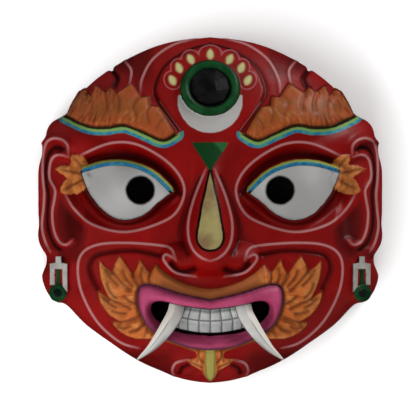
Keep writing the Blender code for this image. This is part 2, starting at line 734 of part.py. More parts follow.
def main():
    """Build the mask and its separate pieces."""
    for old in list(bpy.data.objects):
        bpy.data.objects.remove(old)
    lacquer = material("red_lacquer", (0.21, 0.005, 0.004), 0.45)
    glass = material("dark_glass", (0.008, 0.007, 0.008), 0.12)
    enamel = material("white_enamel", (0.62, 0.6, 0.56), 0.35)

    shell_form = shell_mesh()
    shell = add_object("mask_shell", shell_form, lacquer)
    surface = BVHTree.FromPolygons([vertex.co for vertex in shell_form.vertices],
                                   [tuple(face.vertices) for face in shell_form.polygons])
    facets = shell.modifiers.new("facets", "DECIMATE")
    shell_form.calc_loop_triangles()
    facets.ratio = TRIANGLES / len(shell_form.loop_triangles)
    facets.use_symmetry = True
    facets.symmetry_axis = "X"
    reach = MASK_HEIGHT
    cut(shell, "rim_plane", box_mesh("rim_plane", (-reach, -reach, -reach), (reach, reach, 0)))

    disc_low, disc_high = -DISC_SEAT_DEPTH, DISC_THICKNESS - DISC_SEAT_DEPTH
    seat = disc_mesh("disc_seat", DISC_RADIUS + SEAT_GAP, disc_low - SEAT_GAP, MASK_HEIGHT / 8)
    seat_in_ring(cut(shell, "disc_seat", seat))
    disc = disc_mesh("forehead_disc", DISC_RADIUS, disc_low, disc_high, DISC_CROWN)
    seat_in_ring(add_object("forehead_disc", disc, glass))

    for side, name in ((1, "left_tusk"), (-1, "right_tusk")):
        cut(shell, name + "_socket", tusk_mesh(name + "_socket", surface, side, SEAT_GAP))
        add_object(name, tusk_mesh(name, surface, side), enamel)
    middle_on_origin(shell)


if __name__ == "__main__":
    main()
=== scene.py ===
import math

import bmesh
import bpy
import numpy as np
from mathutils import Matrix, Vector
from mathutils.bvhtree import BVHTree


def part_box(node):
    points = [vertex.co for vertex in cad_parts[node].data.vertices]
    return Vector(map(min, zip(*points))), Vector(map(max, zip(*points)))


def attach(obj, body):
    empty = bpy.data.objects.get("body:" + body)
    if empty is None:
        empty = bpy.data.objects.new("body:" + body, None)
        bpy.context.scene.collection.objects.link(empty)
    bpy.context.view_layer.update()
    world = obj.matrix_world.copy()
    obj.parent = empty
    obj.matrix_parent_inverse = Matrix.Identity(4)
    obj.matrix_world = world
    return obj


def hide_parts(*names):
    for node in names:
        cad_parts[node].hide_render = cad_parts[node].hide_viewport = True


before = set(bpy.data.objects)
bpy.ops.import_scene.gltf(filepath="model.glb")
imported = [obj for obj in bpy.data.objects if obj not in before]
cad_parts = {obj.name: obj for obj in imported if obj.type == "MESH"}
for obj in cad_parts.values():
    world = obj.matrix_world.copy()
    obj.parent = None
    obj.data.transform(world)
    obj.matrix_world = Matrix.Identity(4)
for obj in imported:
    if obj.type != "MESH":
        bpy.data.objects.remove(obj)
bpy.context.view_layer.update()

# Size of the mask from the frame, the drawing grid of GRID_HIGH parts to its height, and the dome
SHELL_LOW, SHELL_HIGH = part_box("mask_shell")
GRID_HIGH = 347.0
PART = (SHELL_HIGH[1] - SHELL_LOW[1]) / GRID_HIGH
MILLIMETRE = 0.001 / PART
WALL = 7 * MILLIMETRE
SIDE_HEIGHT = 30 * MILLIMETRE
DOME_RISE = 78 * MILLIMETRE
DOME_FULLNESS = 3.0
DOME_SHOULDER = 0.5
SIDE_DRAFT = 0.015

# How much brighter the studio is than it takes to show a white thing white
LIGHT_LEVEL = 1.8
SKY = 0.28

# Fineness of the meshes
FACE_CELLS = 228
BACK_CELLS = FACE_CELLS // 4
SHOULDER_RINGS = 24
SIDE_RINGS = 10
GRID_REACH = 0.88

# Outline of the mask from crown to chin, in parts, the half at -X as all curves are
OUTLINE = [(0, 173.5), (-46, 167), (-86, 150), (-120.5, 126), (-137.5, 101), (-144, 93.5),
           (-158, 87.5), (-164, 78), (-162.8, 67), (-163.8, 56), (-165.3, 40), (-164.3, 17),
           (-164.3, 3), (-165.3, -24), (-163.5, -39), (-164, -53), (-168.8, -66), (-165.5, -79),
           (-160.5, -87), (-154, -92.5), (-143.5, -96), (-120.5, -118.5), (-74.5, -149),
           (-37, -164), (0, -168.5)]

# Swells of the face: height, centre and half widths
SWELLS = [
    (6, (-88, 90), (84, 40)),     # forehead over the brow
    (4, (-112, -30), (44, 34)),   # cheekbone
    (15, (0, -108), (108, 68)),   # muzzle
    (7, (0, -158), (52, 26)),     # chin
    (4, (-25, -155), (15, 10)),   # scroll beside the chin
    (3, (-158, 10), (24, 78)),    # ear
]

# Nose: crest height and half width of the foot going down the face, and its lines
NOSE_CREST = [(80, 0), (60, 4), (40, 9), (20, 17), (0, 26), (-20, 34), (-38, 38), (-50, 33),
              (-59, 18), (-66, 5), (-74, 0)]
NOSE_FOOT = [(80, 22), (40, 20), (20, 21), (0, 26), (-20, 31), (-45, 33), (-74, 28)]
NOSE_FULLNESS = 2.4
NOSE_WING = (17, (-29, -49), (23, 18))
NOSE_SOFT = 9
NOSTRIL = [(-38, -53), (-33, -59), (-25, -61.5), (-16, -59)]
NOSTRIL_DEEP = 7
NOSTRIL_WIDTH = 3.2
NOSE_LINE = [(-4.5, 40.2), (-15.3, 13.7), (-21.5, -10), (-21.3, -28), (-16.5, -40), (-8.5, -47.3),
             (0, -50.5)]
NOSE_FOLD = [(-10, 32), (-20.3, 9), (-27.8, -14), (-28, -30), (-22, -43)]
CURL = [(-14.9, -66), (-34.4, -62), (-46, -50), (-44, -44.2), (-34.4, -48.8)]
STRIPE = [(0, 37.7), (-2.6, 25), (-5.2, 13.7), (-8.2, 0), (-11, -17), (-12.3, -26),
          (-10.8, -33), (-6, -37.8), (0, -39.2)]

# Brow: lower edge, smooth upper edge of its body, the flames' edge and the cuts between them
BROW_LOW = [(-145, 94), (-122.8, 83.8), (-104, 82), (-84.9, 84.1), (-65.4, 76.7), (-47, 69.2),
            (-33.8, 75.5)]
BROW_TOP = [(-33.8, 75.5), (-44, 93), (-60, 101), (-90, 110), (-118, 108), (-145, 94)]
BROW_TIPS = [(-33.8, 75.5), (-41.2, 88.5), (-50.2, 102.7), (-59.2, 104.2), (-60.4, 113.7),
             (-68.2, 112.5), (-78, 126.8), (-92.9, 117), (-98.9, 123.7), (-104.5, 117.7),
             (-115, 125.7), (-119.2, 113.7), (-124.7, 122.7), (-126.6, 119.6), (-128.2, 121.2),
             (-137.9, 108), (-145, 94)]
BROW_CUTS = [[(-119.2, 113.7), (-117, 104), (-118, 96)], [(-104.5, 117.7), (-102, 106), (-103, 97)],
             [(-92.9, 117), (-90, 106), (-91, 97)], [(-68.2, 112.5), (-76.4, 104), (-73, 93)],
             [(-59.4, 104), (-62.5, 95), (-60, 86)], [(-44, 93), (-50, 87), (-53, 81)],
             [(-126.6, 119.6), (-128, 108), (-130, 98)]]
BROW_SWELL = 7
BROW_SINK = 4
BROW_FLAME_HIGH = 8
BROW_CUT_DEEP = 1.3
BROW_CUT_WIDTH = 1.9
# Width of the painted shade along the brow's cuts
BROW_CUT_SHADE_WIDTH = 1.1
BROW_GROUND = 60
BROW_SIDE = -128
BROW_SIDE_SHARE = 0.6

# Eye: the fold round the socket, the lids, the eyeball and the pupil
SOCKET = [(-144.6, 15.8), (-142, 38), (-130.8, 53.7), (-99.8, 66.4), (-71.1, 64.6), (-40.1, 45.7),
          (-25.8, 22.7), (-32.1, 0), (-49.3, -12.6), (-83.8, -21.8), (-115.9, -14.9), (-134.9, 0)]
SOCKET_DEEP = 7
UPPER_LID = [(-128.5, 38.2), (-104, 45), (-80.3, 44.5), (-58, 35.5), (-38.5, 17.5)]
LOWER_LID = [(-38.5, 17.5), (-51.6, 7.8), (-66, -4.5), (-84.9, -9.8), (-103, -3), (-119.4, 15.8),
             (-128.5, 38.2)]
LID_FOLD = [(-122, 49), (-104, 53), (-80, 53.5), (-57, 45.5), (-40, 31), (-31, 17)]
LID_CORNER = (-36.8, 18.5)
LID_END = -127.5
LID_RIM_HIGH = 3
LID_RIM_OUT = 2.5
LID_RIM_WIDTH = 2.8
EYEBALL = ((-83, 18), (56, 38))
EYEBALL_HIGH = 15
PUPIL = ((-69.4, 19.6), 14.6)

# Mouth: outer edge of the lips, the opening between them and the teeth
LIPS = [(0, -89.7), (-29.2, -83.3), (-59.8, -74.3), (-71, -79.2), (-70, -99.6), (-56.7, -120),
        (-24.1, -135.3), (0, -138.7)]
MOUTH = [(0, -98.3), (-29.2, -94.5), (-49.6, -90.2), (-58.6, -95), (-54.7, -107.8), (-34.3, -121),
         (0, -125.6)]
LIP_HIGH = 9
MOUTH_DEEP = 14
TEETH_SIDE = 39
TEETH_FOOT = -122.3
TEETH_SPLIT = -110.3
TEETH_ARC = 0.0043
TEETH_HIGH = 9
TOOTH_EDGES = [0, 11.3, 22.4, 31.5, 39]
TOOTH_LEAN = 0.015
TOOTH_GAP_DEEP = 1.1
TOOTH_GAP_WIDTH = 1.7

# Moustache: the edge of its flames, the cuts between them and its smooth body
MOUSTACHE_EDGE = [(0, -78.3), (-8.5, -77.5), (-21.9, -74.2), (-31.9, -70), (-43.5, -63.3),
                  (-53.5, -54.2), (-59.4, -61.9), (-62.5, -60), (-70.2, -48.7), (-72.6, -56),
                  (-76.9, -64.2), (-82.7, -55.8), (-90.2, -45), (-95, -53.3), (-97.2, -61.7),
                  (-104.4, -56.5), (-110.5, -49.7), (-110.6, -58.3), (-109, -69.2),
                  (-105.2, -79.2), (-100.5, -88.7), (-106.5, -84), (-111.7, -79.6),
                  (-111.5, -86), (-109.9, -91.7), (-106, -98.3), (-100, -105.5), (-89.4, -111.7),
                  (-95, -111.2), (-99.4, -111), (-96, -115.8), (-90.2, -121.7), (-81.9, -126.3),
                  (-73.5, -128.7), (-60, -128.7), (-46, -130.5), (-30, -135.6), (-17.5, -140.3),
                  (0, -141)]
MOUSTACHE_CUTS = [[(-102.7, -73), (-100.2, -80.8), (-93.5, -88.3)],
                  [(-86, -85.8), (-80.2, -90.8), (-74.4, -93)],
                  [(-100.5, -88.7), (-92, -92.5), (-80, -98)],
                  [(-97.7, -100.8), (-91.9, -102.5), (-84, -103.3)],
                  [(-89.4, -111.7), (-82, -110.5), (-72, -107.5)],
                  [(-80, -121.8), (-71.2, -118.3), (-64.5, -112.3)],
                  [(-97.2, -61.7), (-90, -70), (-80, -80)], [(-76.9, -64.2), (-75, -70), (-71, -76)],
                  [(-59.4, -61.9), (-60.5, -67), (-60, -72)], [(-87, -60), (-84, -68), (-77, -76)],
                  [(-104, -60), (-99, -68), (-92, -75)], [(-68, -58), (-68.5, -65), (-67, -72)],
                  [(-106, -88), (-100, -94), (-94, -97)], [(-92, -117), (-86, -118), (-80, -116)]]
MOUSTACHE_HIGH = 5
MOUSTACHE_CUT_DEEP = 1.4
MOUSTACHE_CUT_WIDTH = 1.5
# Width of the painted shade along the moustache's cuts
MOUSTACHE_CUT_SHADE_WIDTH = 1.6
BEARD = [(0, -130), (-44, -126), (-30, -135), (-17.5, -139.8), (-13.6, -144), (-15, -147.6),
         (-23.2, -149), (-18.5, -154.5), (-10, -159.8), (-7.8, -164), (-4, -168), (0, -171)]
BEARD_CUTS = [[(-12, -139), (-11, -147), (-7, -152)], [(-20, -151.5), (-13, -154.5), (-8, -157)],
              [(-8, -160), (-6.5, -165), (-4.5, -168)], [(-40, -127.5), (-28, -130.5), (-17, -134)]]
BEARD_HIGH = 2.5
BEARD_CUT_DEEP = 1
BEARD_CUT_WIDTH = 1.2
CHIN_STRIPE = [(0, -138), (-4.6, -138.6), (-4.5, -160), (-3.4, -167.4), (0, -171)]
CHIN_ARC = [(-22.9, -149.2), (-34, -152.5), (-37.9, -159.6), (-36.7, -165.3)]
CHIN_FOLD = [(-22, -154.5), (-28, -157.5), (-30.5, -162.5)]

# Leaves at the outer corner of the eye, as base, tip and width, and how leaf shapes swell
CORNER_LEAVES = [((-122, 36), (-138, 55), 15.5), ((-122, 35), (-154, 41.3), 13),
                 ((-119.5, 34), (-149.5, 18.3), 20)]
PETAL_SHAPE = (0.85, 0.6)
LEAF_VEIN_WIDTH = 1.3
LEAF_HIGH = 2.5
LEAF_VEIN_DEEP = 0.8

# Cheek: its white line and the fold beside it
CHEEK = [(-34.4, -48.8), (-38.4, -39), (-48.2, -35.4), (-82.6, -32.7), (-111.3, -34.4),
         (-127.4, -43), (-132, -59.7), (-127.4, -84.9), (-112.5, -112.5), (-90.7, -132),
         (-72.3, -137.8)]
CHEEK_FOLD = [(-50, -45), (-77, -40.2), (-111.3, -44.2), (-119.9, -55.1), (-118.2, -65.4),
              (-112.5, -78.1)]

# Ear: outer rim, inner rim, the fold between them and the hollow toward the cheek
HELIX = [(-141.7, 57), (-142.3, 64.6), (-147.6, 69.9), (-156.1, 71.6), (-163.5, 67.8),
         (-167.1, 58.3), (-168.1, 43.5), (-167.5, 28.7), (-166.2, 16), (-167.1, 1.2),
         (-168.7, -15.7), (-165.6, -30.5), (-160.3, -41)]
HELIX_HIGH = 5.5
HELIX_WIDTH = 4
ANTIHELIX = [(-142.3, 53), (-151.8, 55.1), (-158.2, 50.9), (-160.7, 41.4), (-160.3, 30.8),
             (-155, 20.3), (-155.4, 11.8), (-157.8, -3), (-156.1, -19.9), (-150.8, -31.5),
             (-143.4, -34.7), (-138.1, -30.5)]
ANTIHELIX_HIGH = 4
ANTIHELIX_WIDTH = 3.2
EAR_FOLD = [(-145.5, 60.4), (-154, 62.5), (-160.3, 58.3), (-163.4, 47.7), (-164.1, 30.8),
            (-162, 13.9), (-162.8, -3), (-162, -19.9), (-156.1, -34), (-149.7, -40)]
EAR_FOLD_DEEP = 2
EAR_FOLD_WIDTH = 2.2
EAR_HOLLOW = (5, (-136, -8), (11, 32))

# Ear ornament: clasp with its arms, stem, and drop and its eye as radius, height and level
CLASP = [(-160.3, -53.7), (-154.6, -52.6), (-154.2, -46.3), (-148.8, -46.3), (-148.4, -52.6),
         (-142.4, -53.7), (-142.4, -82), (-147.2, -78), (-147.6, -59), (-155.2, -59),
         (-155.4, -75), (-160.3, -75)]
CLASP_ARM = [(-158, -60), (-158, -66), (-158, -71)]
STEM = [(-154.4, -59.5), (-149.6, -59.5), (-149.6, -80), (-154.4, -80)]
DROP_CENTRE = (-152.4, -82.9)
DROP = (9.0, 6.0, 1.0)
DROP_EYE = (4.4, 2.2, 5.8)
LOBE_PROBES = ((-146, -55), (-156, -56), (-146, -78))
CLASP_HIGH = 3.4
STEM_HIGH = 2.8
PLATE_FOOT = -9.0
PLATE_BEVEL = 0.55 * MILLIMETRE
CLASP_SINK = 2.6

# Forehead: plaque, arcs and fold, ring and glass disc, crescent, seeds and their scalloped line
PLAQUE = [(-29.2, 76.7), (-53.3, 111.1), (-53, 129.5), (-42.4, 146.7), (-20, 160.5), (0, 166.2)]
PLAQUE_FOOT = [(5, 50), (-20, 50)]
PLAQUE_START = 84
PLAQUE_HIGH = 3
PLAQUE_LIGHT = [(-29.6, 78.6), (-39.8, 92.5), (-49.6, 107)]
BIG_ARC = [(-69.4, 118), (-68, 131), (-57.4, 150.7), (-36.7, 165.7), (-14.9, 171.7)]
SMALL_ARC = [(-86.1, 149.6), (-79, 140), (-79.7, 129.5), (-81, 124)]
CROWN_FOLD = [(-99.3, 141.5), (-94, 134), (-93.5, 130), (-96, 124)]
RING_CENTRE = (0, 121.3)
RING_TUBE = 5.0
RING_HIGH = 7
DISC_RADIUS = 20 * MILLIMETRE
RING_RADIUS = DISC_RADIUS + RING_TUBE
CRESCENT = ((0, 109), 32.3)
CRESCENT_TOP = 114.3
DISC_SIDES = 9
DISC_TURN = 0.3
DISC_TABLE = [(0.16, 0.62), (0.62, 0.18), (0.36, -0.42), (-0.22, -0.2), (-0.3, 0.3)]
DISC_LEVELS = (-0.0018, 0.0008, 0.0048)
SEEDS = [((-37.6, 129.2), 30, 8.2), ((-31.1, 141.7), 22, 8.2), ((-19.5, 150.4), 28, 9.4),
         ((0, 155.4), 0, 11.6)]
SEED_LENGTH = 12
SEED_WIDTH = 7.8
SEED_SHAPE = (0.9, 0.65)
SCALLOP_OUT = 9.4
SCALLOP_START = 35.5
TRIANGLE = [(-18.6, 67.1), (18.6, 67.1), (0, 37.7)]

# Tusks: the line of the left one seen from the front, its sizes, how it narrows, its section
TUSK_LINE = [(-31.8, -91.5), (-35, -103.5), (-42, -115.5), (-50.2, -127), (-60, -138.2),
             (-73.2, -149.2)]
TUSK_WIDTH = 16.5 * MILLIMETRE
TUSK_THICKNESS = 10 * MILLIMETRE
TUSK_DROOP = 10 * MILLIMETRE
TUSK_SOCKET_DEPTH = 3 * MILLIMETRE
TUSK_CLEARANCE = 3 * MILLIMETRE
TUSK_OVER_LIP = 0.45
TUSK_TAPER = 2.6
TUSK_TIP_WIDE = 0.03
TUSK_TIP_THICK = 0.1
TUSK_CREST = -0.25
TUSK_SECTION = [(-1, 0), (-0.75, 0.55), (TUSK_CREST, 1), (0.3, 0.9), (0.78, 0.6), (1, 0),
                (0.6, -0.8), (-0.6, -0.8)]

# Folds: line, depth and width; and how far the red is darkened in them by painted shade, as line, width
# and share
FOLDS = ((CROWN_FOLD, 3.0), (CHEEK_FOLD, 2.5), (NOSE_FOLD, 1.8), (LID_FOLD, 2.5), (CHIN_FOLD, 1.6),
         (PLAQUE, 2.0))
FOLD_WIDTH = 2.2
FOLD_SHADES = ((CROWN_FOLD, 3.0, 0.95), (CHEEK_FOLD, 3.0, 0.75), (NOSE_FOLD, 3.2, 0.7),
               (PLAQUE, 2.2, 0.5), (CHIN_FOLD, 2.4, 0.9), (NOSTRIL, 3.0, 0.95),
               (EAR_FOLD, 2.5, 0.97), (LID_FOLD, 5.0, 0.8))
EAR_SHADE = ((-138, -12), (17, 42), 0.5)
CROWN_SHADE = ((-84, 150), (22, 16), 0.7)

# White lines, the low rounds under them and their strength at the ends; the one round the
# socket starts behind the leaves
WHITE_LINES = (SOCKET[2:] + SOCKET[:1], CHEEK, CURL, NOSE_LINE, BIG_ARC, SMALL_ARC, CHIN_ARC, HELIX,
               ANTIHELIX[::-1])
LINE_HIGH = 0.5
LINE_WIDTH = 2.4
LINE_END = 0.35

# Angles in degrees over which an edge stays sharp, and the fineness of round beads
TUSK_SHARP = 50
PLATE_SHARP = 35
BEAD_SEGMENTS = 40

# Values far inside and far outside every painted area, where on the side the painting ends, and the
# painted shade on the side wall
INSIDE = 50.0
OUTSIDE = -50.0
PAINTED_REACH = 1.04
SIDE_SHADE = 0.45

# Lights: place in metres, power, size, and whether they show in the gloss
LIGHTS = {"left_key": ((-1.8, -0.85, 1.65), 39.0, 2.6, False),
          "right_light": ((1.7, 1.3, 1.35), 8.0, 0.8, False),
          "low_fill": ((-0.2, -2.0, 1.4), 20.0, 1.6, False),
          "top_light": ((1.3, 1.7, 0.45), 20.0, 0.6, True)}
LOOKED_AT = (0, 0, 0.06)
FLOOR_HALF = 6.0

# Camera: lens and sensor in millimetres, parts that the picture spans, and shift to the side
LENS = 600.0
SENSOR = 36.0
PICTURE_WIDE = 420.0
CAMERA_SHIFT = -0.2
SIGHT_END = 50.0


# Curves and distances on the drawing grid
def curve(points, closed=False, steps=6):
    """Even run of points on a smooth curve through a few given ones."""
    given = [np.array(point, float) for point in points]
    count = len(given)
    spans = count if closed else count - 1
    run = []
    for span in range(spans):
        if closed:
            before, start, end, after = (given[(span + k) % count] for k in (-1, 0, 1, 2))
        else:
            before, start = given[max(span - 1, 0)], given[span]
            end, after = given[span + 1], given[min(span + 2, count - 1)]
        for step in range(steps):
            t = step / steps
            run.append(0.5 * (2 * start + (end - before) * t
                              + (2 * before - 5 * start + 4 * end - after) * t ** 2
                              + (3 * start - before - 3 * end + after) * t ** 3))
    if not closed:
        run.append(given[-1])
    return np.array(run)


def distance_to(x, y, line):
    """Shortest distance from each point to a line of short straight runs."""
    nearest = np.full(np.shape(x), 1e6)
    for (ax, ay), (bx, by) in zip(line[:-1], line[1:]):
        along_x, along_y = bx - ax, by - ay
        share = ((x - ax) * along_x + (y - ay) * along_y) / (along_x ** 2 + along_y ** 2 + 1e-12)
        share = np.clip(share, 0, 1)
        nearest = np.minimum(nearest, np.hypot(x - ax - share * along_x, y - ay - share * along_y))
    return nearest


def is_inside(x, y, shape):
    """True where a point lies inside a closed outline."""
    inside = np.zeros(np.shape(x), bool)
    for (ax, ay), (bx, by) in zip(shape, np.roll(shape, -1, axis=0)):
        straddles = (ay > y) != (by > y)
        crossing = ax + (y - ay) * (bx - ax) / (by - ay if by != ay else 1.0)
        inside ^= straddles & (x < crossing)
    return inside


def depth_inside(x, y, edge, closing=()):
    """Distance inside an outline, negative outside; it may be closed by points with no edge."""
    distance = distance_to(x, y, edge)
    shape = np.vstack([edge, closing]) if len(closing) else edge
    return np.where(is_inside(x, y, shape), distance, -distance)


def past_mirror(points):
    """Points that close a half outline beyond the mirror line."""
    return [(5, points[-1][1]), (5, points[0][1])]


def half_depth(x, y, points):
    """Distance inside the smooth outline whose left half runs from mirror line to mirror line."""
    return depth_inside(x, y, curve(points), past_mirror(points))


def ring_of(points):
    """Closed line that repeats its first point at the end."""
    points = np.array(points, float)
    return np.vstack([points, points[:1]])


# Profiles
def shoulder(depth, width):
    """0 at an edge, rising in a quarter round to 1 a given width inside it."""
    return 1 - (1 - np.clip(depth / width, 0, 1)) ** 2


def slope(depth, width):
    """0 to 1 in an S across an edge, half way up on the edge."""
    t = np.clip(depth / width + 0.5, 0, 1)
    return t * t * (3 - 2 * t)


def mound(x, y, centre, radii, power=1.5):
    """1 at the centre of an ellipse, falling to 0 at its edge."""
    inside = 1 - ((x - centre[0]) / radii[0]) ** 2 - ((y - centre[1]) / radii[1]) ** 2
    return np.clip(inside, 0, None) ** power


def ridge(distance, width):
    """1 on a line, falling off to its sides."""
    return np.exp(-(distance / width) ** 2)


def soft_union(first, second, reach):
    """Greater of two heights over the ground, with the hollow between them filled softly."""
    reach = np.minimum(reach, np.minimum(first, second))
    return (first + second + np.sqrt((first - second) ** 2 + reach ** 2)) / 2


def line_ridge(x, y, points, width):
    """Soft ridge along a smooth curve."""
    return ridge(distance_to(x, y, curve(points)), width)


def along(y, stations):
    """Value at each height y of a smooth curve through (y, value) stations."""
    run = curve(stations)[::-1]
    return np.interp(y, run[:, 0], run[:, 1])


def leaf_half(share, width, lean, fullness):
    """Half width of a leaf at a share of its length."""
    return width / 2 * np.sin(math.pi * share ** lean) ** fullness


def petal_place(x, y, petal):
    """Share of a petal's length at each point, and the distance to the side of its axis."""
    base, tip, _ = petal
    axis = np.subtract(tip, base).astype(float)
    length = np.hypot(*axis)
    axis /= length
    share = ((x - base[0]) * axis[0] + (y - base[1]) * axis[1]) / length
    return share, (x - base[0]) * axis[1] - (y - base[1]) * axis[0]


def petal_depth(x, y, petal):
    """Distance inside a petal that is broad outward and has a blunt point."""
    share, side = petal_place(x, y, petal)
    half = leaf_half(np.clip(share, 0, 1), petal[2], *PETAL_SHAPE)
    past_end = np.maximum(share - 1, -share) * 12
    return np.where(past_end > 0, -past_end - np.abs(side) * 0.2, half - np.abs(side))


def petals_depth(x, y, petals):
    """Distance inside any of several petals."""
    depth = np.full(np.shape(x), OUTSIDE)
    for petal in petals:
        depth = np.maximum(depth, petal_depth(x, y, petal))
    return depth


def petals_vein(x, y, petals):
    """1 on the middle lines of petals, falling off to their sides and ends."""
    vein = np.zeros(np.shape(x))
    for petal in petals:
        share, side = petal_place(x, y, petal)
        between_ends = slope(share - 0.2, 0.3) * slope(0.85 - share, 0.3)
        vein = np.maximum(vein, ridge(side, LEAF_VEIN_WIDTH) * between_ends)
    return vein


def cuts(x, y, lines, width):
    """1 on the cuts between flames, falling off to their sides."""
    strength = np.zeros(np.shape(x))
    for line in lines:
        strength = np.maximum(strength, line_ridge(x, y, line, width))
    return strength


# Relief of the face in parts, drawn once with soft edges for the whole wall and once crisp
def nose(x, y):
    """Bridge, tip and wings of the nose."""
    across = np.clip(np.abs(x) / along(y, NOSE_FOOT), 0, 1)
    bridge = along(y, NOSE_CREST) * (1 - across ** NOSE_FULLNESS) ** 2
    wing_high, wing_centre, wing_radii = NOSE_WING
    wing = wing_high * mound(x, y, wing_centre, wing_radii, 1.0)
    return soft_union(bridge, wing, NOSE_SOFT)


def eye_depth(x, y):
    """Distance inside the opening of the lids."""
    return depth_inside(x, y, np.vstack([curve(UPPER_LID), curve(LOWER_LID)[1:]]))


def eye_forms(x, y, crisp):
    """Hollow of the socket, eyeball and the rim of the lids."""
    socket_depth = depth_inside(x, y, ring_of(curve(SOCKET, closed=True)))
    opening = eye_depth(x, y)
    ball = EYEBALL_HIGH * mound(x, y, *EYEBALL, 0.5)
    rim = LID_RIM_HIGH * crisp * ridge(opening + LID_RIM_OUT, LID_RIM_WIDTH) * (opening < 0)
    near = 1 - slope(-opening - 6, 12)
    return (ball + rim) * near - SOCKET_DEEP * slope(socket_depth - 5, 12)


def brow_swell(x, y):
    """0 to 1 over the soft edge of the brow's body."""
    body = depth_inside(x, y, np.vstack([curve(BROW_LOW), curve(BROW_TOP)[1:]]))
    return slope(body + 3, 12)


def brow_flames(x, y):
    """Distance inside the brow with its flames."""
    return depth_inside(x, y, np.vstack([curve(BROW_LOW), BROW_TIPS[1:]]))


def brow_strength(x):
    """How far the brow stands out: less where it runs over the side of the mask."""
    return 1 - BROW_SIDE_SHARE * slope(BROW_SIDE - x, 24)


def broad_relief(x, y):
    """The large forms, which the inside of the wall follows too."""
    x = -np.abs(x)
    height = nose(x, y) + eye_forms(x, y, crisp=False)
    height = height + BROW_SWELL * brow_swell(x, y) * brow_strength(x)
    height = height - MOUTH_DEEP * slope(half_depth(x, y, MOUTH), 10)
    plaque = depth_inside(x, y, curve(PLAQUE), [(5, PLAQUE[-1][1])] + PLAQUE_FOOT)
    height = height + PLAQUE_HIGH * slope(plaque, 8) * slope(y - PLAQUE_START, 24)
    for high, centre, radii in SWELLS:
        height = height + high * mound(x, y, centre, radii)
    return height


def teeth_depth(x, y, in_mouth):
    """Distance inside the block of teeth."""
    return np.minimum(in_mouth - 0.8, np.minimum(TEETH_SIDE + x, y - TEETH_FOOT - TEETH_ARC * x * x))


def tooth_row(x, y):
    """Height over the gap between the two rows of teeth."""
    return y - TEETH_SPLIT - TEETH_ARC * x * x


def tooth_column(x, y):
    """Number of the tooth column, whole at the gaps, which lean in over the upper row."""
    spread = np.abs(x) * (1 + TOOTH_LEAN * np.maximum(tooth_row(x, y), 0))
    return np.sign(x) * np.interp(spread, TOOTH_EDGES, range(len(TOOTH_EDGES)))


def moustache_depth(x, y):
    """Distance inside the moustache with its flames, the lips included."""
    return depth_inside(x, y, np.array(MOUSTACHE_EDGE, float), past_mirror(MOUSTACHE_EDGE))


def lips_and_teeth(x, y):
    """Full lips between their outer edge and the mouth, the moustache round them, the teeth."""
    outer = half_depth(x, y, LIPS)
    inner = -half_depth(x, y, MOUTH)
    share = np.clip(outer / (outer + inner + 1e-6), 0, 1)
    full = LIP_HIGH * (4 * share * (1 - share)) ** 0.5
    flames = moustache_depth(x, y)
    grooves = cuts(x, y, MOUSTACHE_CUTS, MOUSTACHE_CUT_WIDTH)
    whiskers = MOUSTACHE_HIGH * shoulder(flames, 4) - MOUSTACHE_CUT_DEEP * grooves * shoulder(flames, 3)
    whiskers = whiskers * shoulder(-outer, 4)
    teeth = teeth_depth(x, y, -inner)
    gap = np.abs((tooth_column(x, y) + 0.5) % 1.0 - 0.5) * TOOTH_EDGES[1]
    gap = np.minimum(gap, np.abs(tooth_row(x, y)))
    rows = TEETH_HIGH * shoulder(teeth, 3) - TOOTH_GAP_DEEP * ridge(gap, TOOTH_GAP_WIDTH) * (teeth > 0)
    return np.where(outer < 0, whiskers, np.where(inner > 0, full, rows))


def beard(x, y):
    """Low relief of the beard leaves under the lip."""
    depth = half_depth(x, y, BEARD)
    leaves = BEARD_HIGH * shoulder(depth, 3) - BEARD_CUT_DEEP * cuts(x, y, BEARD_CUTS, BEARD_CUT_WIDTH)
    return leaves * shoulder(-half_depth(x, y, LIPS), 4) * (depth > 0)


def brow(x, y):
    """Flames of the brow, over the swelling that carries them."""
    flames = brow_flames(x, y)
    grooves = cuts(x, y, BROW_CUTS, BROW_CUT_WIDTH)
    height = BROW_FLAME_HIGH * shoulder(flames, 4) - BROW_CUT_DEEP * grooves * shoulder(flames, 3)
    return (height - BROW_SINK * brow_swell(x, y)) * brow_strength(x)


def corner_leaves(x, y):
    """Leaves at the outer corner of the eye, with their veins."""
    leaves = LEAF_HIGH * shoulder(petals_depth(x, y, CORNER_LEAVES), 3)
    return leaves - LEAF_VEIN_DEEP * petals_vein(x, y, CORNER_LEAVES)


def ear(x, y):
    """Rims, fold and hollow of the ear."""
    height = HELIX_HIGH * line_ridge(x, y, HELIX, HELIX_WIDTH)
    height = height + ANTIHELIX_HIGH * line_ridge(x, y, ANTIHELIX, ANTIHELIX_WIDTH)
    height = height - EAR_FOLD_DEEP * line_ridge(x, y, EAR_FOLD, EAR_FOLD_WIDTH)
    deep, centre, radii = EAR_HOLLOW
    return height - deep * mound(x, y, centre, radii)


def ring_distance(x, y):
    """Distance from the middle of the forehead ring, measured on its tilted seat."""
    return np.hypot(x - RING_CENTRE[0], (y - RING_CENTRE[1]) / RING_SQUASH)


def forehead_ring(x, y):
    """Raised ring round the glass disc, level inside."""
    tube = np.clip(1 - ((ring_distance(x, y) - RING_RADIUS) / RING_TUBE) ** 2, 0, None) ** 0.5
    return RING_HIGH * tube


def fine_lines(x, y):
    """Low rounds under the white lines and thin folds between the forms."""
    height = sum(LINE_HIGH * line_ridge(x, y, line, LINE_WIDTH) for line in WHITE_LINES)
    return height - sum(deep * line_ridge(x, y, line, FOLD_WIDTH) for line, deep in FOLDS)


def crisp_relief(x, y):
    """The carving that stands on the large forms."""
    x = -np.abs(x)
    height = brow(x, y) + corner_leaves(x, y) + lips_and_teeth(x, y) + beard(x, y)
    height = height + eye_forms(x, y, crisp=True) - eye_forms(x, y, crisp=False)
    height = height - NOSTRIL_DEEP * line_ridge(x, y, NOSTRIL, NOSTRIL_WIDTH)
    return height + ear(x, y) + forehead_ring(x, y) + fine_lines(x, y)


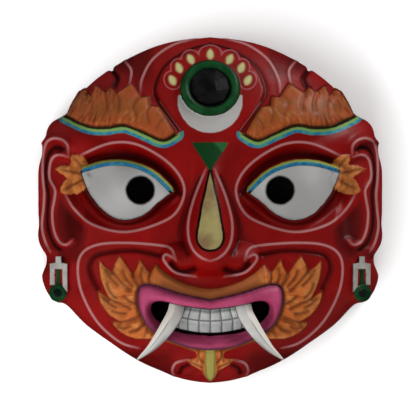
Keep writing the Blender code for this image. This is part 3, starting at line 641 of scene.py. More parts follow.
# The dome that carries the relief
OUTLINE_HALF = curve(OUTLINE, steps=24)
OUTLINE_ANGLE = np.arctan2(np.abs(OUTLINE_HALF[:, 0]), OUTLINE_HALF[:, 1])
OUTLINE_RADIUS = np.hypot(OUTLINE_HALF[:, 0], OUTLINE_HALF[:, 1])


def outline_radius(x, y):
    """Distance from the middle to the outline in the direction of each point."""
    return np.interp(np.arctan2(np.abs(x), y), OUTLINE_ANGLE, OUTLINE_RADIUS)


def dome_share(x, y):
    """0 in the middle of the face, 1 on the outline."""
    return np.hypot(x, y) / outline_radius(x, y)


def dome_frame(x, y, station):
    """Point and outward normal of the plain dome; a station past 1 runs down the side."""
    nudge = 0.5
    share = np.clip(dome_share(x, y), 0, 1)
    slope_x = dome_share(x + nudge, y) - dome_share(x - nudge, y)
    slope_y = dome_share(x, y + nudge) - dome_share(x, y - nudge)
    fall = np.hypot(slope_x, slope_y) + 1e-12
    rest = np.clip(1 - share ** DOME_FULLNESS, 1e-9, 1)
    steep = DOME_RISE * DOME_SHOULDER * DOME_FULLNESS * share ** (DOME_FULLNESS - 1)
    steep = steep * rest ** (DOME_SHOULDER - 1) * fall / (2 * nudge)
    steep = np.where(station >= 1, 1e6, steep)
    length = np.sqrt(1 + steep ** 2)
    normal = np.stack([slope_x / fall * steep, slope_y / fall * steep, np.ones_like(x)], -1)
    normal = normal / length[..., None]
    down = np.clip(station - 1, 0, 1)
    height = np.where(station >= 1, SIDE_HEIGHT * (1 - down),
                      SIDE_HEIGHT + DOME_RISE * rest ** DOME_SHOULDER)
    draw_in = 1 - SIDE_DRAFT * down
    return np.stack([x * draw_in, y * draw_in, height], -1), normal


def seen_position(x, y, normal, fade):
    """Where a dome point stands on the drawing once the large forms have pushed it out."""
    seen_x, seen_y = x, y
    for _ in range(2):
        push = broad_relief(seen_x, seen_y) * fade
        seen_x = x + normal[..., 0] * push
        seen_y = y + normal[..., 1] * push
    return seen_x, seen_y


def face_surface(x, y, station):
    """Points of the outer face in parts."""
    point, normal = dome_frame(x, y, station)
    fade = 1 - np.clip(station - 1, 0, 1) ** 2
    seen_x, seen_y = seen_position(x, y, normal, fade)
    height = (broad_relief(seen_x, seen_y) + crisp_relief(seen_x, seen_y)) * fade
    return point + normal * height[..., None]


def back_surface(x, y, station):
    """Points of the hollow back: the large forms set back by the wall on every side."""
    point, normal = dome_frame(x, y, station)
    fade = 1 - np.clip(station - 1, 0, 1) ** 2
    seen_x, seen_y = seen_position(x, y, normal, fade)
    lowest = broad_relief(seen_x, seen_y) * fade - WALL
    for share in (0.5, 0.85):
        drop = WALL * math.sqrt(1 - share ** 2)
        for turn in range(8):
            angle = turn * math.pi / 4
            near_x = seen_x + share * WALL * math.cos(angle)
            near_y = seen_y + share * WALL * math.sin(angle)
            lowest = np.minimum(lowest, broad_relief(near_x, near_y) * fade - drop)
    inner = point + normal * lowest[..., None]
    inner[..., 2] = np.where(station >= 2, point[..., 2], inner[..., 2])
    return inner


def ring_seat():
    """Middle of the forehead ring's seat in parts, and the direction it faces."""
    x, y = (np.array([value], float) for value in RING_CENTRE)
    point, normal = dome_frame(x, y, np.array([0.0]))
    return (point + normal * broad_relief(x, y)[..., None])[0], normal[0]


RING_SQUASH = ring_seat()[1][2]


# Meshes
def disc_stations(cells, shoulder_rings, side_rings):
    """Grid over the face and rings round it, as stations, angles, faces and the rim loop."""
    side = np.linspace(-1, 1, cells + 1)
    across, up = np.meshgrid(side, side, indexing="ij")
    reach = np.maximum(np.abs(across), np.abs(up))
    wide = np.abs(across) >= np.abs(up)
    ratio = np.where(wide, up / np.where(across == 0, 1, across),
                     across / np.where(up == 0, 1, up)) * math.pi / 4
    angle = np.where(wide, np.where(across >= 0, ratio, ratio + math.pi),
                     np.where(up >= 0, math.pi / 2 - ratio, -math.pi / 2 - ratio))
    columns = cells + 1
    faces = []
    for i in range(cells):
        for j in range(cells):
            first = i * columns + j
            faces.append((first, first + columns, first + columns + 1, first + 1))
    border = [(i, 0) for i in range(cells)] + [(cells, j) for j in range(cells)]
    border += [(cells - i, cells) for i in range(cells)] + [(0, cells - j) for j in range(cells)]
    loop = [i * columns + j for i, j in border]
    loop_angle = np.array([angle[i, j] for i, j in border])
    stations = [(reach * GRID_REACH).ravel()]
    angles = [angle.ravel()]
    steps = [1 - (1 - GRID_REACH) * (1 - (k + 1) / shoulder_rings) ** 2
             for k in range(shoulder_rings)]
    steps += [1 + (k + 1) / side_rings for k in range(side_rings)]
    for step in steps:
        start = sum(len(block) for block in stations)
        ring = [start + k for k in range(len(loop))]
        for k in range(len(loop)):
            after = (k + 1) % len(loop)
            faces.append((loop[after], loop[k], ring[k], ring[after]))
        stations.append(np.full(len(loop), step))
        angles.append(loop_angle)
        loop = ring
    return np.concatenate(stations), np.concatenate(angles), faces, loop


def skin(cells, shoulder_rings, side_rings, surface):
    """One skin of the mask in parts, with its stations, faces and rim loop."""
    station, angle, faces, loop = disc_stations(cells, shoulder_rings, side_rings)
    away_x, away_y = np.cos(angle), np.sin(angle)
    reach = np.minimum(station, 1) * outline_radius(away_x, away_y)
    return surface(away_x * reach, away_y * reach, station), station, faces, loop


def mesh_from(form, name):
    """Mesh with the points and faces of a form, which is given up."""
    mesh = bpy.data.meshes.new(name)
    form.to_mesh(mesh)
    form.free()
    return mesh


def add_object(mesh, *materials):
    """Object named like its mesh, its faces turned outward and smoothly shaded."""
    form = bmesh.new()
    form.from_mesh(mesh)
    bmesh.ops.recalc_face_normals(form, faces=form.faces)
    form.to_mesh(mesh)
    form.free()
    mesh.shade_smooth()
    piece = bpy.data.objects.new(mesh.name, mesh)
    bpy.context.scene.collection.objects.link(piece)
    for material in materials:
        mesh.materials.append(material)
    return piece


def store(mesh, name, values):
    """Keep one number for each point of a mesh."""
    layer = mesh.attributes.new(name, "FLOAT", "POINT")
    layer.data.foreach_set("value", np.ascontiguousarray(values, np.float32))


# Painting: distance inside each painted area in parts, for every point of the face
def nearest_run(x, y, line):
    """Distance to a line, the same with the side as its sign, and the run to the nearest point."""
    near = np.full(np.shape(x), 1e6)
    side = np.full(np.shape(x), 1e6)
    run = np.zeros(np.shape(x))
    passed = 0.0
    for (ax, ay), (bx, by) in zip(line[:-1], line[1:]):
        ahead_x, ahead_y = bx - ax, by - ay
        length = math.hypot(ahead_x, ahead_y) + 1e-9
        share = np.clip(((x - ax) * ahead_x + (y - ay) * ahead_y) / length ** 2, 0, 1)
        off_x, off_y = x - ax - share * ahead_x, y - ay - share * ahead_y
        distance = np.hypot(off_x, off_y)
        closer = distance < near
        near = np.where(closer, distance, near)
        signed = np.copysign(distance, ahead_x * off_y - ahead_y * off_x)
        side = np.where(closer, signed, side)
        run = np.where(closer, passed + share * length, run)
        passed += length
    return near, side, run


def white_line_values(x, y):
    """Distance to the nearest white line, the same with its side as sign, and its strength."""
    near = np.full(np.shape(x), 1e6)
    side = np.full(np.shape(x), 1e6)
    strength = np.zeros(np.shape(x))
    for points in WHITE_LINES:
        line = curve(points)
        own_near, own_side, _ = nearest_run(x, y, line)
        to_end = np.minimum(*(np.hypot(x - end[0], y - end[1]) for end in (line[0], line[-1])))
        closer = own_near < near
        near = np.where(closer, own_near, near)
        side = np.where(closer, own_side, side)
        full = LINE_END + (1 - LINE_END) * slope(to_end - 6, 12)
        strength = np.where(closer, full, strength)
    return near, side, strength


def seed_values(x, y):
    """Distance inside the seeds round the ring, and inside the scallops round them."""
    seed = np.full(np.shape(x), OUTSIDE)
    scallop = np.full(np.shape(x), OUTSIDE)
    for (sx, sy), tilt, half_scallop in SEEDS:
        turn = math.radians(tilt)
        out = (y - sy) * math.cos(turn) - (x - sx) * math.sin(turn)
        side = (x - sx) * math.cos(turn) + (y - sy) * math.sin(turn)
        share = np.clip(out / SEED_LENGTH + 0.5, 0, 1)
        half = leaf_half(share, SEED_WIDTH, *SEED_SHAPE)
        inside = np.minimum(half - np.abs(side), SEED_LENGTH / 2 - np.abs(out))
        seed = np.maximum(seed, inside)
        reach = np.hypot(side / half_scallop, out / SCALLOP_OUT)
        scallop = np.maximum(scallop, (1 - reach) * SCALLOP_OUT)
    return seed, scallop


def outside_edge(x, y, edge, other):
    """Distance outside an outline where one of its edges is the nearer, far elsewhere."""
    near = distance_to(x, y, edge)
    return np.where(near <= distance_to(x, y, other) + 0.01, near, INSIDE)


def paint_values(x, y):
    """Every value that the face's paint is made from, by name, for points on the drawing."""
    signed_x = x
    x = -np.abs(x)
    line_near, line_side, line_strength = white_line_values(x, y)
    seeds, scallop = seed_values(x, y)
    (seed_x, seed_y), _, _ = SEEDS[0]
    outward = (ring_distance(x, y) > SCALLOP_START) | ((y < seed_y - 4) & (x < seed_x + 9))
    (crescent_x, crescent_y), crescent_radius = CRESCENT
    crescent = crescent_radius - np.hypot(x - crescent_x, y - crescent_y)
    plaque_near, plaque_side, _ = nearest_run(x, y, curve(PLAQUE))
    light_near, light_side, _ = nearest_run(x, y, curve(PLAQUE_LIGHT))

    flames = brow_flames(x, y)
    low, _, along_brow = nearest_run(x, y, curve(BROW_LOW))
    band = outside_edge(x, y, curve(BROW_LOW), np.array(BROW_TIPS, float))
    past_corner = np.maximum(np.maximum(x - LID_CORNER[0], LID_CORNER[1] - y), LID_END - x)
    from_lid = distance_to(x, y, curve(UPPER_LID))
    (pupil_x, pupil_y), pupil_radius = PUPIL

    in_mouth = half_depth(x, y, MOUTH)
    away, _, along_lips = nearest_run(x, y, curve(LIPS))
    on_brow = y > BROW_GROUND
    above_lips = slope(x + 52, 16) * slope(y + 94, 8)
    return {
        "line_near": line_near,
        "line_side": line_side,
        "line_strength": line_strength,
        "seeds": seeds,
        "scallop": np.where(outward, scallop, INSIDE),
        "ring": RING_RADIUS + RING_TUBE + 0.4 - ring_distance(x, y),
        "crescent": np.minimum(crescent, CRESCENT_TOP - y),
        "triangle": depth_inside(x, y, ring_of(TRIANGLE)),
        "triangle_light": signed_x + 0.9 * (y - TRIANGLE[0][1]),
        "stripe": half_depth(x, y, STRIPE),
        "plaque_near": plaque_near,
        "plaque_side": plaque_side,
        "light_near": light_near,
        "light_side": light_side,
        "brow": flames,
        "brow_band": np.where(flames > 0, 1.0, -band),
        "brow_cut_shade": cuts(x, y, BROW_CUTS, BROW_CUT_SHADE_WIDTH),
        "eye": eye_depth(x, y),
        "from_lid": from_lid,
        "lid_band": -np.maximum(from_lid, 8 * past_corner),
        "pupil": pupil_radius - np.hypot(x - pupil_x, y - pupil_y),
        "leaves": petals_depth(x, y, CORNER_LEAVES),
        "leaf_vein_shade": petals_vein(x, y, CORNER_LEAVES),
        "lips": half_depth(x, y, LIPS),
        "mouth": in_mouth,
        "teeth": teeth_depth(x, y, in_mouth),
        "tooth_column": tooth_column(signed_x, y),
        "tooth_row": tooth_row(x, y),
        "moustache": moustache_depth(x, y),
        "moustache_cut_shade": np.maximum(cuts(x, y, MOUSTACHE_CUTS, MOUSTACHE_CUT_SHADE_WIDTH),
                                     cuts(x, y, BEARD_CUTS, BEARD_CUT_WIDTH)),
        "beard": half_depth(x, y, BEARD),
        "chin_stripe": half_depth(x, y, CHIN_STRIPE),
        "stroke_across": np.where(on_brow, along_brow - 0.25 * low, along_lips),
        "stroke_along": np.where(on_brow, low, away),
        "streaky": np.where(on_brow, 0.15 + 0.85 * slope(-x - 92, 24), 1 - above_lips),
        "shade": dark_shade(x, y),
    }


def dark_shade(x, y):
    """Painted shade: how far the red is darkened in the folds, in the ear and along the sides."""
    socket = depth_inside(x, y, ring_of(curve(SOCKET, closed=True)))
    opening = eye_depth(x, y)
    shade = 0.85 * ridge(opening + 4, 3.5) * slope(26 - y, 16) * (opening < 0)
    shade = np.maximum(shade, 0.35 * slope(socket - 8, 6))
    for line, width, deep in FOLD_SHADES:
        shade = np.maximum(shade, deep * line_ridge(x, y, line, width))
    hollow = mound(x, y, *EAR_SHADE) * slope(-socket - 5, 6)
    shade = np.maximum(shade, 0.75 * hollow * slope(distance_to(x, y, curve(ANTIHELIX)) - 3, 4))
    shade = np.maximum(shade, 0.5 * slope(-y - 140, 16) * slope(-x - 38, 16))
    shade = np.maximum(shade, 0.6 * mound(x, y, *CROWN_SHADE) * slope(-x - 74, 8))
    shade = np.maximum(shade, 0.45 * slope(-x - 58, 10) * slope(y - 132, 14) * slope(82 + x, 8))
    return np.clip(shade, 0, 1)


# Materials
# In the red, folds is the colour of the painted shade in folds, hollows and along the sides
RED_PAINT = {"deep": (126, 3, 2), "bright": (144, 6, 5), "folds": (34, 1, 1), "plaque_groove_shade": (22, 1, 1),
             "lit_edge": (176, 92, 88), "line": (172, 112, 112), "scallops": (176, 100, 104)}
FOREHEAD_PAINT = {"crescent": (178, 175, 172), "seed_edge": (166, 140, 92), "seed": (194, 190, 132),
                  "ring": (10, 58, 24), "ring_light": (22, 76, 38), "ring_foot_shade": (8, 38, 18),
                  "ring_inner_shade": (8, 18, 12), "triangle": (12, 62, 26), "triangle_lit": (34, 98, 50)}
STRIPE_PAINT = {"edge": (24, 6, 3), "dark": (132, 106, 74), "pale": (162, 150, 94)}
BROW_PAINT = {"blue": (24, 112, 158), "teal": (60, 142, 140), "green": (118, 156, 84),
              "dark_band": (34, 34, 10), "edge": (52, 14, 8), "foot": (44, 28, 8),
              "flames": ((112, 48, 18), (158, 76, 32), (174, 98, 50)),
              "olive": ((112, 58, 24), (142, 82, 36), (160, 104, 54)),
              "glow": (166, 74, 38), "cuts": (96, 36, 16)}
EYE_PAINT = {"leaf": (164, 88, 38), "leaf_light": (196, 120, 60), "vein": (66, 30, 12),
             "lid_blue": (22, 96, 142), "lid_teal": (40, 122, 146), "lid_green": (142, 154, 70),
             "edge": (26, 8, 7), "grey": (156, 154, 152), "white": (186, 184, 182),
             "pupil": (3, 1, 1)}
WHISKER_PAINT = {"flames": ((158, 76, 28), (196, 104, 44), (208, 132, 70)),
                 "tips": ((166, 96, 46), (196, 122, 62), (206, 144, 90)),
                 "foot": (124, 64, 26), "band_lip_shade": (118, 62, 27), "band": (172, 97, 52),
                 "cuts": (96, 42, 16), "edge": (130, 52, 20),
                 "stripe_edge": (112, 104, 36), "stripe": (158, 148, 74)}
MOUTH_PAINT = {"lip_edge": (88, 40, 68), "lip": (170, 60, 98), "lip_light": (188, 74, 116),
               "lip_edge_shade": (132, 50, 80), "dark": (4, 1, 1), "tooth": (182, 184, 182),
               "tooth_light": (200, 202, 200), "gap": (104, 104, 104), "low_row_shade": (110, 110, 110)}
# On the tusks, outer is a painted highlight and shaded is painted shade
TUSK_PAINT = {"grey": (196, 193, 189), "pale": (208, 205, 200), "shaded": (128, 126, 124),
              "outer": (232, 227, 217), "crease": (96, 90, 86), "edge": (110, 104, 100)}
ORNAMENT_PAINTS = {"white_enamel": ((150, 146, 141), (170, 166, 161)),
                   "green_enamel": ((10, 52, 24), (24, 70, 36)),
                   "black_enamel": ((12, 20, 18), (24, 30, 28))}
PAPER_PAINT = {"dark": (122, 98, 74), "light": (158, 134, 104), "fibres": (176, 156, 126)}
GLASS_PAINT = {"dark": (14, 13, 14), "light": (30, 29, 30)}
FLOOR_WHITE = (0.93, 0.93, 0.93, 1.0)

# Roughness and specular of each material
GLOSS = {"painted_papier_mache": (0.45, 0.14), "bare_papier_mache": (0.85, 0.2),
         "dark_glass": (0.3, 0.12), "white_tusk": (0.4, 0.2), "white_enamel": (0.4, 0.2),
         "green_enamel": (0.4, 0.2), "black_enamel": (0.4, 0.2), "pale_floor": (0.9, 0.1)}


def linear(colour):
    """Scene colour of an sRGB one, from 0 to 255, given as it looks in the bright studio."""
    return tuple((((c / 255 + 0.055) / 1.055) ** 2.4 if c > 10 else c / 255 / 12.92) / LIGHT_LEVEL
                 for c in colour) + (1.0,)


def shader_node(tree, kind, inputs, output=0, **settings):
    """Output of a new shader node, whose inputs are values or other nodes' outputs."""
    made = tree.nodes.new(kind)
    for key, value in settings.items():
        setattr(made, key, value)
    for key, value in inputs.items():
        if isinstance(value, bpy.types.NodeSocket):
            tree.links.new(value, made.inputs[key])
        else:
            made.inputs[key].default_value = value
    return made.outputs[output]


class Paint:
    """A material whose colour is laid on coat by coat; colours are sRGB or nodes' outputs."""

    def __init__(self, name):
        self.material = bpy.data.materials.new(name)
        self.material.use_nodes = True
        self.tree = self.material.node_tree
        self.shader = self.tree.nodes["Principled BSDF"]
        for socket, value in zip(("Roughness", "Specular IOR Level"), GLOSS[name]):
            self.shader.inputs[socket].default_value = value
        self.colour = None

    def node(self, kind, inputs, output=0, **settings):
        """Output of a new node in this material."""
        return shader_node(self.tree, kind, inputs, output, **settings)

    def number(self, operation, *values):
        """Number worked out from others."""
        return self.node("ShaderNodeMath", dict(enumerate(values)), operation=operation)

    def product(self, first, second):
        """One number times another."""
        return self.number("MULTIPLY", first, second)

    def total(self, first, second):
        """One number and another."""
        return self.number("ADD", first, second)

    def value(self, name):
        """Number stored on the mesh under a name."""
        return self.node("ShaderNodeAttribute", {}, "Fac", attribute_name=name)

    def noise(self, scale, detail=3.0, place=None, stretch=None):
        """Noise over the object's own coordinates, stretched where asked."""
        place = place or self.node("ShaderNodeTexCoord", {}, "Object")
        if stretch:
            place = self.node("ShaderNodeMapping", {"Vector": place, "Scale": stretch})
        inputs = {"Vector": place, "Scale": scale, "Detail": detail}
        return self.node("ShaderNodeTexNoise", inputs, "Fac")

    def window(self, value, low, high):
        """0 below one value, rising to 1 above another."""
        inputs = {0: value, 1: low, 2: high, 3: 0.0, 4: 1.0}
        return self.node("ShaderNodeMapRange", inputs, interpolation_type="SMOOTHSTEP")

    def fall(self, value, low, high):
        """1 below one value, falling to 0 above another."""
        return self.number("SUBTRACT", 1.0, self.window(value, low, high))

    def blend(self, share, under, over):
        """One colour over another."""
        under, over = (linear(c) if isinstance(c, tuple) else c for c in (under, over))
        return self.node("ShaderNodeMix", {0: share, 6: under, 7: over}, 2, data_type="RGBA")

    def clouds(self, scale, first, second, low=0.35, high=0.65, detail=3.0):
        """Two colours that change into each other in soft patches."""
        return self.blend(self.window(self.noise(scale, detail), low, high), first, second)

    def coat(self, mask, colour, strength=None):
        """Lay a colour on where a mask is 1."""
        share = self.product(mask, strength) if strength else mask
        self.colour = self.blend(share, self.colour, colour)

    def finish(self, *layers):
        """Link the colour and the unevenness: heights, each with its depth in metres."""
        self.tree.links.new(self.colour, self.shader.inputs["Base Color"])
        bump = {"Strength": 1.0}
        for height, depth in layers:
            bump.update(Height=height, Distance=depth)
            bump["Normal"] = self.node("ShaderNodeBump", bump)
        self.tree.links.new(bump["Normal"], self.shader.inputs["Normal"])
        return self.material


class FacePaint(Paint):
    """Enamel of the face, painted by the distances that are stored on its mesh."""

    def __init__(self):
        super().__init__("painted_papier_mache")
        self.wobble = self.product(self.number("SUBTRACT", self.noise(170.0), 0.5), 1.3)

    def area(self, name, shift=0.0, edge=0.35):
        """Mask of a painted area with a slightly wavering, brushed edge."""
        value = self.total(self.value(name), self.wobble)
        return self.window(self.total(value, shift), -edge, edge)

    def inside(self, name, low, high):
        """Mask of a painted area, sharp between two distances from its edge."""
        return self.window(self.value(name), low, high)

    def close_to(self, name, low, high):
        """1 where a value's size is under one number, 0 over another."""
        return self.fall(self.number("ABSOLUTE", self.value(name)), low, high)

    def thin_line(self, name, side, near):
        """Mask of a thin line, from its distance with and without its side."""
        return self.product(self.close_to(name + "_side", *side),
                            self.close_to(name + "_near", *near))

    def strokes(self, seed, fineness=0.55, length=0.07):
        """Noise drawn out along the flames."""
        across = self.product(self.value("stroke_across"), fineness)
        lengthwise = self.product(self.value("stroke_along"), length)
        place = self.node("ShaderNodeCombineXYZ", {0: across, 1: lengthwise, 2: seed})
        return self.noise(1.0, 1.5, place)

    def flames(self, colours, seed):
        """Orange flames brushed with darker and paler strokes."""
        deep, middle, pale = colours
        soft = self.blend(0.7, deep, middle)
        dark = self.blend(self.value("streaky"), soft, deep)
        colour = self.blend(self.window(self.strokes(seed, 0.42), 0.3, 0.6), dark, middle)
        light = self.window(self.strokes(seed + 7.3, 0.3, 0.1), 0.5, 0.66)
        patches = self.window(self.noise(38.0, 2.0), 0.35, 0.6)
        return self.blend(self.product(light, patches), colour, pale)


def paint_red(paint):
    """Red enamel with painted shade in the folds, the ear and along the sides, painted shade in the
    plaque's groove, a painted highlight along the plaque's lower edge, and the lines drawn on it.
    """
    paint.colour = paint.clouds(22.0, RED_PAINT["deep"], RED_PAINT["bright"], 0.3, 0.7)
    # Painted shade in the folds, the ear hollow, under the upper lid and along the sides
    paint.coat(paint.value("shade"), RED_PAINT["folds"])
    paint.coat(paint.thin_line("light", (0.3, 1.3), (1.5, 2.5)), RED_PAINT["lit_edge"], 0.6)
    # Painted shade in the groove along the plaque's edge
    paint.coat(paint.thin_line("plaque", (0.2, 1.1), (1.6, 2.6)), RED_PAINT["plaque_groove_shade"], 0.85)
    worn = paint.window(paint.noise(120.0), 0.05, 0.4)
    lined = paint.product(paint.thin_line("line", (0.6, 1.8), (2.6, 3.4)), worn)
    paint.coat(lined, RED_PAINT["line"], paint.value("line_strength"))
    paint.coat(paint.close_to("scallop", 0.3, 1.1), RED_PAINT["scallops"], 0.65)


def paint_forehead(paint):
    """Crescent, seeds and green ring with painted shade at its outer foot and on its inner slope, and
    the triangle between the brows with painted light on its upper right.
    """
    paint.coat(paint.area("crescent", edge=0.7), FOREHEAD_PAINT["crescent"])
    paint.coat(paint.area("seeds", edge=1.3), FOREHEAD_PAINT["seed_edge"])
    paint.coat(paint.area("seeds", -1.2, 1.2), FOREHEAD_PAINT["seed"])
    green = paint.clouds(60.0, FOREHEAD_PAINT["ring"], FOREHEAD_PAINT["ring_light"])
    # Painted shade where the ring's outer side meets the forehead, and on its inner slope beside the
    # disc
    green = paint.blend(paint.inside("ring", 0.2, 2.2), FOREHEAD_PAINT["ring_foot_shade"], green)
    green = paint.blend(paint.inside("ring", 7.0, 10.5), green, FOREHEAD_PAINT["ring_inner_shade"])
    paint.coat(paint.area("ring"), green)
    green = paint.blend(paint.inside("triangle_light", 1.0, 6.0), FOREHEAD_PAINT["triangle"],
                        FOREHEAD_PAINT["triangle_lit"])
    paint.coat(paint.area("triangle"), green)


def paint_stripe(paint):
    """Cream stripe down the nose with its dark edge."""
    paint.coat(paint.area("stripe", 2.4, 0.5), STRIPE_PAINT["edge"])
    paint.coat(paint.area("stripe"), paint.clouds(35.0, STRIPE_PAINT["dark"], STRIPE_PAINT["pale"]))


def paint_brows(paint):
    """Flames of the brows over their blue, green and dark bands, with painted shade in the cuts between
    the flames.
    """
    blues = paint.clouds(130.0, BROW_PAINT["blue"], BROW_PAINT["teal"], 0.42, 0.58)
    for reach, colour in ((7.6, blues), (4.6, BROW_PAINT["green"]), (1.9, BROW_PAINT["dark_band"])):
        paint.coat(paint.area("brow_band", reach, 0.7), colour)
    paint.coat(paint.inside("brow", -0.8, 0.5), BROW_PAINT["edge"])
    colour = paint.flames(BROW_PAINT["flames"], 1.0)
    upward = paint.total(paint.value("stroke_along"), paint.product(paint.strokes(3.0), 14.0))
    middle = paint.product(paint.window(upward, 14.0, 22.0), paint.fall(upward, 30.0, 38.0))
    colour = paint.blend(paint.product(middle, 0.6), colour, paint.flames(BROW_PAINT["olive"], 2.0))
    uneven_foot = paint.product(paint.strokes(4.0, 1.2), -3.0)
    above_foot = paint.window(paint.total(paint.value("stroke_along"), uneven_foot), -1.0, 1.6)
    colour = paint.blend(above_foot, BROW_PAINT["foot"], colour)
    glow = paint.window(paint.noise(75.0), 0.5, 0.64)
    colour = paint.blend(paint.product(glow, 0.55), colour, BROW_PAINT["glow"])
    # Painted shade in the carved cuts between the flames
    colour = paint.blend(paint.product(paint.value("brow_cut_shade"), 0.4), colour, BROW_PAINT["cuts"])
    paint.coat(paint.inside("brow", 0.1, 1.3), colour)


def paint_eyes(paint):
    """Leaves at the corners with painted shade in their veins, bands of the lids, whites and pupils."""
    leaf = paint.clouds(110.0, EYE_PAINT["leaf"], EYE_PAINT["leaf_light"])
    # Painted shade in the carved veins of the leaves
    leaf = paint.blend(paint.product(paint.value("leaf_vein_shade"), 0.7), leaf, EYE_PAINT["vein"])
    ragged = paint.product(paint.number("SUBTRACT", paint.noise(330.0, 2.0), 0.5), 5.0)
    paint.coat(paint.window(paint.total(paint.value("leaves"), ragged), -0.4, 0.6), leaf)
    blues = paint.clouds(210.0, EYE_PAINT["lid_blue"], EYE_PAINT["lid_teal"], 0.4, 0.6)
    paint.coat(paint.area("lid_band", 4.5, 0.5), EYE_PAINT["lid_green"])
    paint.coat(paint.area("lid_band", 2.2, 0.5), blues)
    paint.coat(paint.area("eye", 1.0, 0.6), EYE_PAINT["edge"])
    paint.coat(paint.area("lid_band", 1.6, 0.5), blues)
    white = paint.clouds(17.0, EYE_PAINT["grey"], EYE_PAINT["white"], detail=1.0)
    paint.coat(paint.area("eye", edge=0.5), white, paint.inside("from_lid", 1.2, 2.2))
    paint.coat(paint.area("pupil", edge=1.4), EYE_PAINT["pupil"])


def paint_whiskers(paint):
    """Flames of the moustache with its smooth middle, beard leaves and chin stripe, with painted shade
    in their cuts and beside the lips.
    """
    outward = paint.value("stroke_along")
    colour = paint.blend(paint.product(paint.window(outward, 16.0, 36.0), 0.8),
                         paint.flames(WHISKER_PAINT["flames"], 5.0),
                         paint.flames(WHISKER_PAINT["tips"], 6.0))
    # Painted shade on the flames and on the smooth band where they meet the raised lips
    colour = paint.blend(paint.window(outward, 0.5, 5.0), WHISKER_PAINT["foot"], colour)
    smooth_band = paint.blend(paint.window(outward, 0.5, 11.0), WHISKER_PAINT["band_lip_shade"],
                              WHISKER_PAINT["band"])
    colour = paint.blend(paint.value("streaky"), smooth_band, colour)
    # Painted shade in the carved cuts of the moustache and beard
    colour = paint.blend(paint.product(paint.value("moustache_cut_shade"), 0.85), colour,
                         WHISKER_PAINT["cuts"])
    paint.coat(paint.area("moustache", 0.3, 0.8), WHISKER_PAINT["edge"])
    paint.coat(paint.inside("moustache", 0.1, 1.2), colour)
    paint.coat(paint.inside("beard", -0.3, 0.9), colour)
    paint.coat(paint.area("chin_stripe", 0.5, 0.9), WHISKER_PAINT["stripe_edge"])
    paint.coat(paint.area("chin_stripe", -0.8, 1.2), WHISKER_PAINT["stripe"])


def paint_mouth(paint):
    """Lips with painted shade toward their outer edge, the dark mouth, and the teeth with painted shade
    on the lower row.
    """
    paint.coat(paint.area("lips", 0.9, 0.5), MOUTH_PAINT["lip_edge"])
    lip = paint.clouds(40.0, MOUTH_PAINT["lip"], MOUTH_PAINT["lip_light"])
    # Painted shade toward the lips' outer edge, where they turn away
    lip = paint.blend(paint.inside("lips", 0.3, 4.5), MOUTH_PAINT["lip_edge_shade"], lip)
    paint.coat(paint.area("lips", -0.6, 0.6), lip)
    paint.coat(paint.area("mouth", edge=0.5), MOUTH_PAINT["dark"])
    enamel = paint.clouds(70.0, MOUTH_PAINT["tooth"], MOUTH_PAINT["tooth_light"], 0.3, 0.7)
    to_column = paint.number("PINGPONG", paint.value("tooth_column"), 0.5)
    gap = paint.number("MINIMUM", paint.product(to_column, TOOTH_EDGES[1]),
                       paint.number("ABSOLUTE", paint.value("tooth_row")))
    enamel = paint.blend(paint.window(gap, 0.0, 1.7), MOUTH_PAINT["gap"], enamel)
    # Painted shade on the lower row of teeth
    low_row_shade = paint.blend(0.3, enamel, MOUTH_PAINT["low_row_shade"])
    enamel = paint.blend(paint.inside("tooth_row", -6.0, 1.0), low_row_shade, enamel)
    paint.coat(paint.inside("teeth", 0.0, 0.9), enamel)


def face_material():
    """Painted papier-mache: red enamel with all its painted areas."""
    paint = FacePaint()
    for lay in (paint_red, paint_forehead, paint_stripe, paint_brows, paint_eyes, paint_whiskers,
                paint_mouth):
        lay(paint)
    return paint.finish((paint.noise(55.0, 4.0), 0.0007), (paint.noise(700.0, 2.0), 0.0001))


def enamel_material(name, colours):
    """Enamel of one colour with slight cloudiness."""
    paint = Paint(name)
    paint.colour = paint.clouds(90.0, *colours)
    return paint.finish((paint.noise(260.0, 2.0), 0.0002))


def back_material():
    """Bare layered paper on the hollow back, brushed with a thin brown coat."""
    paint = Paint("bare_papier_mache")
    patches = paint.noise(28.0, 4.0)
    fibres = paint.noise(500.0, stretch=(1.0, 0.2, 1.0))
    paint.colour = paint.blend(paint.window(patches, 0.35, 0.65), PAPER_PAINT["dark"],
                               PAPER_PAINT["light"])
    paint.coat(paint.window(fibres, 0.5, 0.75), PAPER_PAINT["fibres"])
    return paint.finish((patches, 0.0015), (fibres, 0.0003))


def glass_material():
    """Nearly black polished glass."""
    paint = Paint("dark_glass")
    paint.colour = paint.clouds(60.0, GLASS_PAINT["dark"], GLASS_PAINT["light"], 0.3, 0.7, 2.0)
    return paint.finish((paint.noise(220.0, 2.0), 0.00015))


def tusk_material():
    """White enamel over carved wood, with a painted highlight outside the crest and painted shade
    inside it toward the tip.
    """
    paint = Paint("white_tusk")
    across, lengthwise = paint.value("across"), paint.value("lengthwise")
    paint.colour = paint.clouds(90.0, TUSK_PAINT["grey"], TUSK_PAINT["pale"], 0.3, 0.7, 2.0)
    paint.coat(paint.window(across, 0.1, 0.9), TUSK_PAINT["shaded"],
               paint.window(lengthwise, 0.35, 0.8))
    # Painted highlight on the facet outside the crest
    paint.coat(paint.window(across, TUSK_CREST + 0.03, TUSK_CREST - 0.03), TUSK_PAINT["outer"])
    crease = paint.product(paint.number("COMPARE", across, TUSK_CREST, 0.08),
                           paint.window(lengthwise, 0.25, 0.4))
    paint.coat(crease, TUSK_PAINT["crease"], 0.55)
    paint.coat(paint.window(across, 0.84, 0.95), TUSK_PAINT["edge"])
    return paint.finish((paint.noise(260.0, 2.0), 0.00006))


def floor_material():
    """Plain pale floor."""
    paint = Paint("pale_floor")
    paint.shader.inputs["Base Color"].default_value = FLOOR_WHITE
    return paint.material


